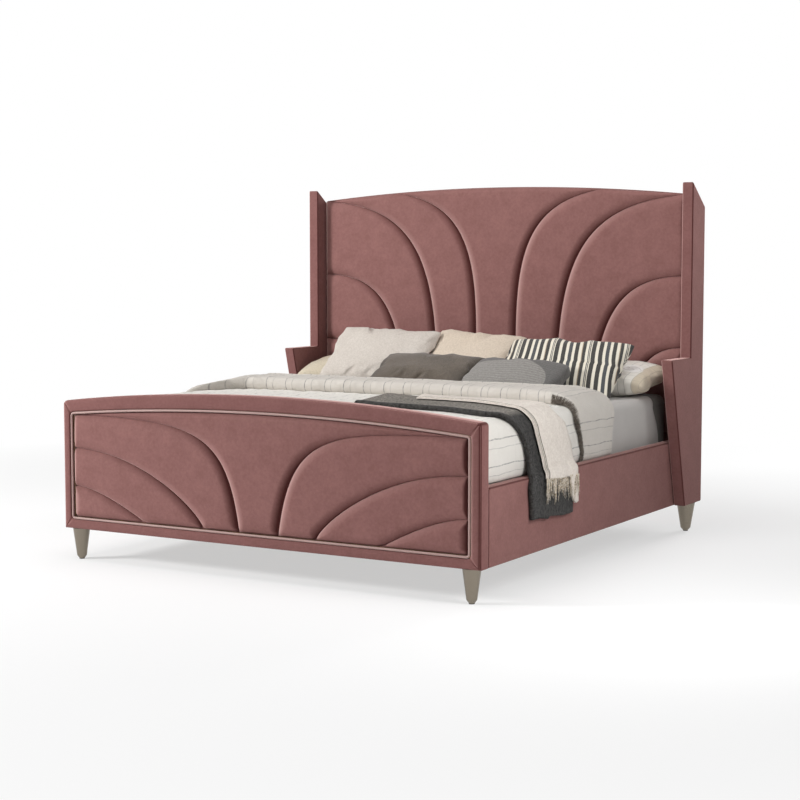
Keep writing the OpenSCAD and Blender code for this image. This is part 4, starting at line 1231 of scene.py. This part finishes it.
def throw(name, path, edges, t, gap, bulge, steps, front, rear, look, wave, slant, hem,
          every=9, fade=90):
    """front and rear: (distance along the path, y) pairs. hem: (share, rise) pairs."""
    n = int(path.long / every)
    rings, uvs = [], []

    def smooth(pts, s):
        return sum(read(pts, s + d) for d in (-36, -18, 0, 18, 36)) / 5

    for i in range(n + 1):
        s0 = path.long * i / n
        y0, y1 = smooth(front, s0), smooth(rear, s0)
        w = y1 - y0
        ring = around(fold_line(w, edges, t, gap, bulge, steps), t)
        tip = min(1, 0.5 + 0.5 * s0 / 12)
        r = []
        for v, h in ring:
            share = min(max(v / w, 0), 1)
            s = s0 + slant * (1 - share) * max(0.0, 1 - s0 / 260)
            up = read(hem, share) + 3 * ripple(v * 0.03, 0, slant)
            s -= up * max(0.0, 1 - (path.long - s0) / fade)
            base, out = path.at(s), path.out(s, 9)
            lift = h * tip + wave(s, v, y0 + v)
            r.append((base[0] + out[0] * lift, y0 + v, base[1] + out[1] * lift))
            uvs.append((s * MM, v * MM))
        rings.append(np.array(r) * MM)
    ob = loft(name, rings, look)
    add_uvs(ob.data, uvs)
    return ob


GREY_REAR = [(0, -130), (160, -190), (330, -262), (660, -292), (800, -296), (880, -345),
             (960, -392), (1030, -372), (1090, -318), (1200, -296), (1330, -302)]
# How far each hem rises, by share of its width
GREY_HEM = [(0, 20), (0.10, 25), (0.30, 18), (0.36, 3), (0.42, 16), (0.60, 8), (0.8, 1), (1, 3)]
CREAM_HEM = [(0, 136), (0.3, 128), (0.72, 122), (0.76, 60), (0.80, 22), (0.84, 14), (0.88, 3),
             (0.93, 10), (0.97, 4), (1, 12)]
# The cream throw's line runs on below its hem, and lies this far over the grey one's
CREAM_RUN_ON, CREAM_LIFT = 118, 19.2


def throws():
    grey = throw_path(30, 262)
    g_long = grey.long

    def grey_wave(s, v, y):
        hang = max(0.0, (s - (g_long - 210)) / 210)
        a = 0.5 + 0.5 * math.sin(v * 0.030 + 0.6 + 0.9 * ripple(s * 0.006, 0, 0))
        top = 0.7 * (0.5 + 0.5 * ripple(s * 0.014, y * 0.016, 8))
        return 2.4 * a * hang ** 0.8 + top * (1 - hang)

    front = [(0, -580), (120, -590), (244, -632), (357, -632), (500, -656), (638, -684),
             (742, -732), (850, -788), (900, -800), (950, -766), (1000, -708), (1040, -668),
             (1100, -638), (1160, -640), (1195, -694), (1230, -706), (1300, -690),
             (g_long, -686)]
    ob = throw("grey_blanket", grey, [0], 7.2, 1.2, 5.0, 34, front, GREY_REAR, GREY_WOOL,
               grey_wave, 118, GREY_HEM)
    piece(ob, "grey_wool", "grey_throw")

    cream = throw_path(270, 420 - CREAM_RUN_ON, extra=CREAM_LIFT)
    c_long = cream.long - CREAM_RUN_ON

    def cream_wave(s, v, y):
        hang = min(1.0, max(0.0, (s - 480) / (c_long - 540)))
        a = max(0.0, math.sin(v * 0.040 + 1.9 + 0.8 * ripple(s * 0.005, 2, 0)))
        b = max(0.0, math.sin(v * 0.083 + 0.6 + 0.9 * ripple(s * 0.008, 7, 0)))
        top = 0.9 * (0.5 + 0.5 * ripple(s * 0.02, y * 0.02, 3))
        past = min(max((y - read(GREY_REAR, s + 240)) / 60, 0), 1)
        fall = 16.5 * past * past * (3 - 2 * past)
        return (6.0 * a ** 1.4 + 3.0 * b ** 1.6) * (0.22 + 0.78 * hang) + top - fall

    front = [(0, -392), (165, -398), (267, -404), (355, -416), (455, -462), (553, -524),
             (640, -598), (690, -624), (740, -618), (790, -604), (830, -592), (881, -575),
             (932, -562), (1008, -546), (1060, -562), (1100, -584), (cream.long, -594)]
    rear = [(0, -212), (95, -160), (214, -142), (357, -158), (520, -225), (600, -290),
            (680, -352), (735, -350), (785, -288), (865, -226), (900, -214), (950, -232),
            (985, -285), (c_long, -258), (cream.long, -262)]
    ob = throw("cream_blanket", cream, [0, 9], 1.9, 0.4, 0.0, 26, front, rear, CREAM_WOOL,
               cream_wave, 76, CREAM_HEM, every=8, fade=330)
    tassels = fringe(cream, c_long, front[-1][1], rear[-1][1], cream_wave)
    piece(ob, "cream_wool", "cream_throw")


TASSELS = 54


def fringe(path, end, front, rear, wave):
    """Knotted, twisted tassels along the throw's hem"""
    rng = random.Random(5)
    hem = path.at(end)
    threads = []
    for k in range(TASSELS):
        share = (k + 0.5) / TASSELS
        v = share * (rear - front) * (0.98 if k % 5 else 0.99)
        y = front + v
        x = max(hem[0] + 4.4 + wave(end, v, y), hem[0] + 3.2) + (3.0 if share > 0.7 else 0)
        drift = rng.uniform(-9, 9)
        length = rng.uniform(62, 126) * (0.85 if rng.random() < 0.25 else 1)
        z = hem[1] + 18 - 16 * share
        for p in (-1.8, 1.8):
            knot = [(x, y + p, z + 4), (x + 0.3, y + p * 0.6, z - 3), (x + 0.2, y + p * 0.3, z - 9)]
            threads.append(strand([Vector(q) * MM for q in knot], 1.2 * MM, 1.3 * MM, 5))
        for _ in range(4):
            dy, dx = rng.uniform(-8, 8), rng.uniform(-1.0, 2.2)
            cut = length * rng.uniform(0.55, 1)
            phase = rng.uniform(0, 6.28)
            pts = []
            for t in np.linspace(0, 1, 9):
                wob = 3.4 * math.sin(phase + t * 9)
                pts.append(Vector((x + dx * t + 0.5 * math.cos(phase + t * 9),
                                   y + (dy + drift) * t ** 1.2 + wob * t,
                                   z - 4 - (cut - 4) * t)) * MM)
            threads.append(strand(pts, *YARN, 4))
    return piece(bundle("blanket_fringe", threads, FRINGE), "cream_wool")


# Pillows: size, place of the lower edge above the sheet, lean, roll, slot and fill
PILLOWS = {
    "ivory_pillow": ((500, 340, 140), (-745, 665, 39.8), 12, 0, "ivory_cotton", 0.7),
    "check_pillow": ((360, 380, 150), (800, 625, 51.6), 8, 0, "check_cotton", 0.75),
    "cream_pillow": ((590, 360, 130), (-500, 571, 37.3), 44, -2, "cream_cotton", 0.65),
    "beige_pillow": ((510, 370, 140), (-5, 630, 13.5), 44, -4, "beige_linen", 0.65),
    "striped_pillow": ((650, 385, 130), (565, 460, 5.0), 39, -1, "striped_cotton", 0.65),
    "dark_grey_pillow": ((590, 325, 140), (-105, 323, 18.6), 28, -1, "taupe_satin", 0.75),
    "light_grey_pillow": ((500, 285, 125), (435, 256, 17.2), 29, -4, "light_grey_cotton", 0.75),
}
# How far a pillow's corners stand out, as a share of its size, how full it is toward its
# edge (below 1 is fuller), and the pressure that blows it up
EARS = {"dark_grey_pillow": 0.06, "light_grey_pillow": -0.07}
FULLNESS = {"striped_pillow": 0.7, "cream_pillow": 0.95, "light_grey_pillow": 0.74}
PRESSURE = {"striped_pillow": 1.2}
USUAL_EARS, USUAL_FULLNESS, USUAL_PRESSURE = 0.006, 0.84, 3.4
CASE_STEP = 10.5


def pillow_blank(name, w, h, t, look):
    """Two faces sewn round their edge, each a grid"""
    cols, rows = int(w / CASE_STEP), int(h / CASE_STEP)
    index = np.zeros((2, rows + 1, cols + 1), int)
    verts, uvs, faces = [], [], []
    for side in (0, 1):
        for i in range(rows + 1):
            for j in range(cols + 1):
                u, v = 2 * j / cols - 1, 2 * i / rows - 1
                rim = i in (0, rows) or j in (0, cols)
                if rim and side:
                    index[1, i, j] = index[0, i, j]
                    continue
                index[side, i, j] = len(verts)
                plump = ((1 - abs(u) ** 2.6) * (1 - abs(v) ** 2.6)) ** 0.6
                n = ripple(u * 2.2, v * 2.2, hash_of(name) + side)
                z = (1, -1)[side] * t / 2 * plump * (0.62 + 0.10 * n)
                verts.append((w / 2 * u, h / 2 * v, 0.0 if rim else z))
                uvs.append((w / 2 * u * MM, h / 2 * v * MM))
        for i in range(rows):
            for j in range(cols):
                q = [index[side, i, j], index[side, i, j + 1], index[side, i + 1, j + 1],
                     index[side, i + 1, j]]
                faces.append(tuple(q[::-1] if side else q))
    return link_mesh(name, np.array(verts) * MM, faces, look, uvs), index


def from_edge(d, a, b):
    """Carries the values on a grid's four edges over its inside"""
    return ((1 - b) * d[:1] + b * d[-1:] + (1 - a) * d[:, :1] + a * d[:, -1:]
            - (1 - a) * (1 - b) * d[0, 0] - a * (1 - b) * d[0, -1]
            - (1 - a) * b * d[-1, 0] - a * b * d[-1, -1])


def square_up(ob, index, w, h, ears):
    """Draws the sewn edge out to the pillow's own outline; the cloth between follows"""
    co = coords(ob)
    rows, cols = index.shape[1] - 1, index.shape[2] - 1
    u = np.linspace(-1, 1, cols + 1)[None, :] * np.ones((rows + 1, 1))
    v = np.linspace(-1, 1, rows + 1)[:, None] * np.ones((1, cols + 1))
    corner = (np.abs(u) * np.abs(v)) ** 7
    x = w / 2 * u * (1 - 0.035 * np.cos(math.pi / 2 * v) * np.abs(u) - (0.010 - ears) * corner)
    y = h / 2 * v * (1 - 0.045 * np.cos(math.pi / 2 * u) * np.abs(v) - (0.014 - ears) * corner)
    d = np.stack([x, y], -1) * MM - co[index[0]][..., :2]
    # In height the edge keeps part of its own waviness
    z = co[index[0]][..., 2:]
    move = from_edge(np.concatenate([d, -0.6 * z], -1), (u + 1)[..., None] / 2,
                     (v + 1)[..., None] / 2)
    co[index[0]] += move
    co[index[1][1:-1, 1:-1]] += move[1:-1, 1:-1]
    set_coords(ob, co)


def hash_of(name):
    return sum(ord(c) * (i + 1) for i, c in enumerate(name)) % 97 * 1.37


CLOTH = {
    "quality": 6, "mass": 0.25, "tension_stiffness": 22, "compression_stiffness": 12,
    "shear_stiffness": 6, "bending_stiffness": 0.35, "tension_damping": 12,
    "compression_damping": 12, "air_damping": 3, "use_pressure": True, "shrink_min": 0,
}
CLOTH_FRAMES = 24


def inflate(ob, pressure):
    """Blows a sewn case up as cloth, and keeps the result as its mesh"""
    mod = ob.modifiers.new("cloth", "CLOTH")
    for key, value in CLOTH.items():
        setattr(mod.settings, key, value)
    mod.settings.uniform_pressure_force = pressure
    mod.settings.effector_weights.gravity = 0
    mod.collision_settings.use_collision = False
    mod.collision_settings.use_self_collision = False
    for f in range(1, CLOTH_FRAMES + 1):
        scene.frame_set(f)
    settle(ob)
    scene.frame_set(1)


def fit_size(ob, w, h, t, full):
    """To the pillow's own size. full below 1 fills it out toward its edge."""
    co = coords(ob)
    low, high = co.min(0), co.max(0)
    co = (co - (low + high) / 2) * (np.array([w, h, t]) * MM / (high - low))
    half = t / 2 * MM
    co[:, 2] = np.sign(co[:, 2]) * half * (np.abs(co[:, 2]) / half) ** full
    set_coords(ob, co)


def place(ob, h, at, lean, roll):
    co = coords(ob)
    a, b = math.radians(roll), math.radians(lean)
    rz = np.array([[math.cos(a), -math.sin(a), 0], [math.sin(a), math.cos(a), 0], [0, 0, 1]])
    rx = np.array([[1, 0, 0], [0, math.cos(b), -math.sin(b)], [0, math.sin(b), math.cos(b)]])
    co = co @ rz.T + np.array([0, h / 2 * MM, 0])
    co = co @ rx.T + (np.array(at) + np.array([0, 0, SHEET_TOP])) * MM
    set_coords(ob, co)


def tree_of(ob):
    return BVHTree.FromPolygons([v.co[:] for v in ob.data.vertices],
                                [p.vertices[:] for p in ob.data.polygons])


def push_out(ob, trees, clear=0.6 * MM, rounds=3):
    """Moves a soft piece's points out of its neighbours, and smooths what moved"""
    co = coords(ob)
    edges = np.array([e.vertices[:] for e in ob.data.edges])
    for r in range(rounds):
        moved = np.zeros(len(co), bool)
        for tree in trees:
            for i, p in enumerate(co):
                loc, normal, _, _ = tree.find_nearest(Vector(p), 0.07)
                if loc is not None and (Vector(p) - loc).dot(normal) < clear * 0.6:
                    co[i] = loc + normal * clear
                    moved[i] = True
        if r < rounds - 1 and moved.any():
            near = moved.copy()
            for _ in range(3):
                near[edges[near[edges[:, 0]], 1]] = True
                near[edges[near[edges[:, 1]], 0]] = True
            total, count = np.zeros_like(co), np.zeros(len(co))
            np.add.at(total, edges[:, 0], co[edges[:, 1]])
            np.add.at(total, edges[:, 1], co[edges[:, 0]])
            np.add.at(count, edges.ravel(), 1)
            mean = total / np.maximum(count, 1)[:, None]
            co[near] = 0.5 * co[near] + 0.5 * mean[near]
    co[:, 2] = np.maximum(co[:, 2], (SHEET_TOP + 0.4) * MM)
    set_coords(ob, co)


def pillows():
    names = ["headboard_upholstery", "left_wing_upholstery", "right_wing_upholstery",
             "headboard_channel_centre"]
    names += [f"headboard_channel_{s}_{i}" for s in ("left", "right") for i in range(1, 5)]
    trees = [tree_of(bpy.data.objects[n]) for n in names + ["duvet_quilt"]]
    for name, (size, at, lean, roll, slot, fill) in PILLOWS.items():
        w, h, t = size
        ob, index = pillow_blank(name + "_case", w, h, t, PILLOW_LOOKS[name])
        inflate(ob, PRESSURE.get(name, USUAL_PRESSURE))
        square_up(ob, index, w, h, EARS.get(name, USUAL_EARS))
        fit_size(ob, w, h, t, FULLNESS.get(name, USUAL_FULLNESS))
        place(ob, h, at, lean, roll)
        push_out(ob, trees)
        trees.append(tree_of(ob))
        sub = ob.modifiers.new("smooth", "SUBSURF")
        sub.levels = sub.render_levels = 1
        padded_piece(settle(ob), fill, slot, name)


for make in (mattress, fitted_sheet, duvet, band_edging, throws, pillows):
    make()


# Stage: a pale floor that runs into a white background, and soft lamps
WORLD = 0.18
FLOOR_SIZE, FLOOR_GREY, FLOOR_GLOW = 120, 0.86, 0.55
# Name, place, aim, size in metres (for the spot its radius and its angle) and power
LAMPS = [
    ("key", (-5.2, -4.6, 3.1), (0, 0.2, 0.7), (1.4, 1.4), 488),
    ("top", (-0.4, -0.8, 5.0), (0, 0.1, 0.6), (3.0, 3.0), 92),
    ("side", (2.3, -1.1, 1.3), (1.0, -0.8, 0.4), (0.8, 0.8), 18.5),
    ("wing", (3.0, 1.3, 3.3), (1.1, 0.95, 1.5), (0.5, 27), 262),
    ("rear", (1.5, 5.2, 2.6), (0, 1.1, 0.8), (2.0, 2.0), 110),
]


def lay_floor():
    bpy.ops.mesh.primitive_plane_add(size=FLOOR_SIZE, location=(0, 0, 0))
    floor = bpy.context.object
    floor.name = "floor"
    k = Look("floor_paint", 0.9)
    k.b.inputs["Base Color"].default_value = [FLOOR_GREY] * 3 + [1]
    white = k.node("ShaderNodeEmission")
    white.inputs["Strength"].default_value = 1
    far = k.node("ShaderNodeVectorMath", operation="LENGTH")
    k.link(k.coord.outputs["Object"], far.inputs[0])
    fade = k.step(k.mul(far.outputs["Value"], 0.1), 0.22, 0.5)
    mix = k.node("ShaderNodeMixShader")
    k.link(k.mul(k.seen(), k.scaled(fade, 1 - FLOOR_GLOW, FLOOR_GLOW)), mix.inputs[0])
    k.link(k.b.outputs[0], mix.inputs[1])
    k.link(white.outputs[0], mix.inputs[2])
    k.link(mix.outputs[0], k.t.nodes["Material Output"].inputs["Surface"])
    floor.data.materials.append(k.m)


def light_world():
    scene.world = bpy.data.worlds.new("studio")
    scene.world.use_nodes = True
    w = Nodes(scene.world.node_tree)
    background = w.t.nodes["Background"]
    background.inputs["Color"].default_value = FULL
    w.link(w.scaled(w.seen(), 1 - WORLD, WORLD), background.inputs["Strength"])


def add_lamps():
    for name, at, aim, size, power in LAMPS:
        spot = name == "wing"
        data = bpy.data.lights.new(name, "SPOT" if spot else "AREA")
        data.energy = power
        if spot:
            data.shadow_soft_size, data.spot_blend = size[0], 1
            data.spot_size = math.radians(size[1])
        else:
            data.shape = "RECTANGLE"
            data.size, data.size_y = size
        ob = bpy.data.objects.new(name, data)
        ob.location = at
        ob.rotation_euler = (Vector(aim) - Vector(at)).to_track_quat("-Z", "Y").to_euler()
        scene.collection.objects.link(ob)


lay_floor()
light_world()
add_lamps()
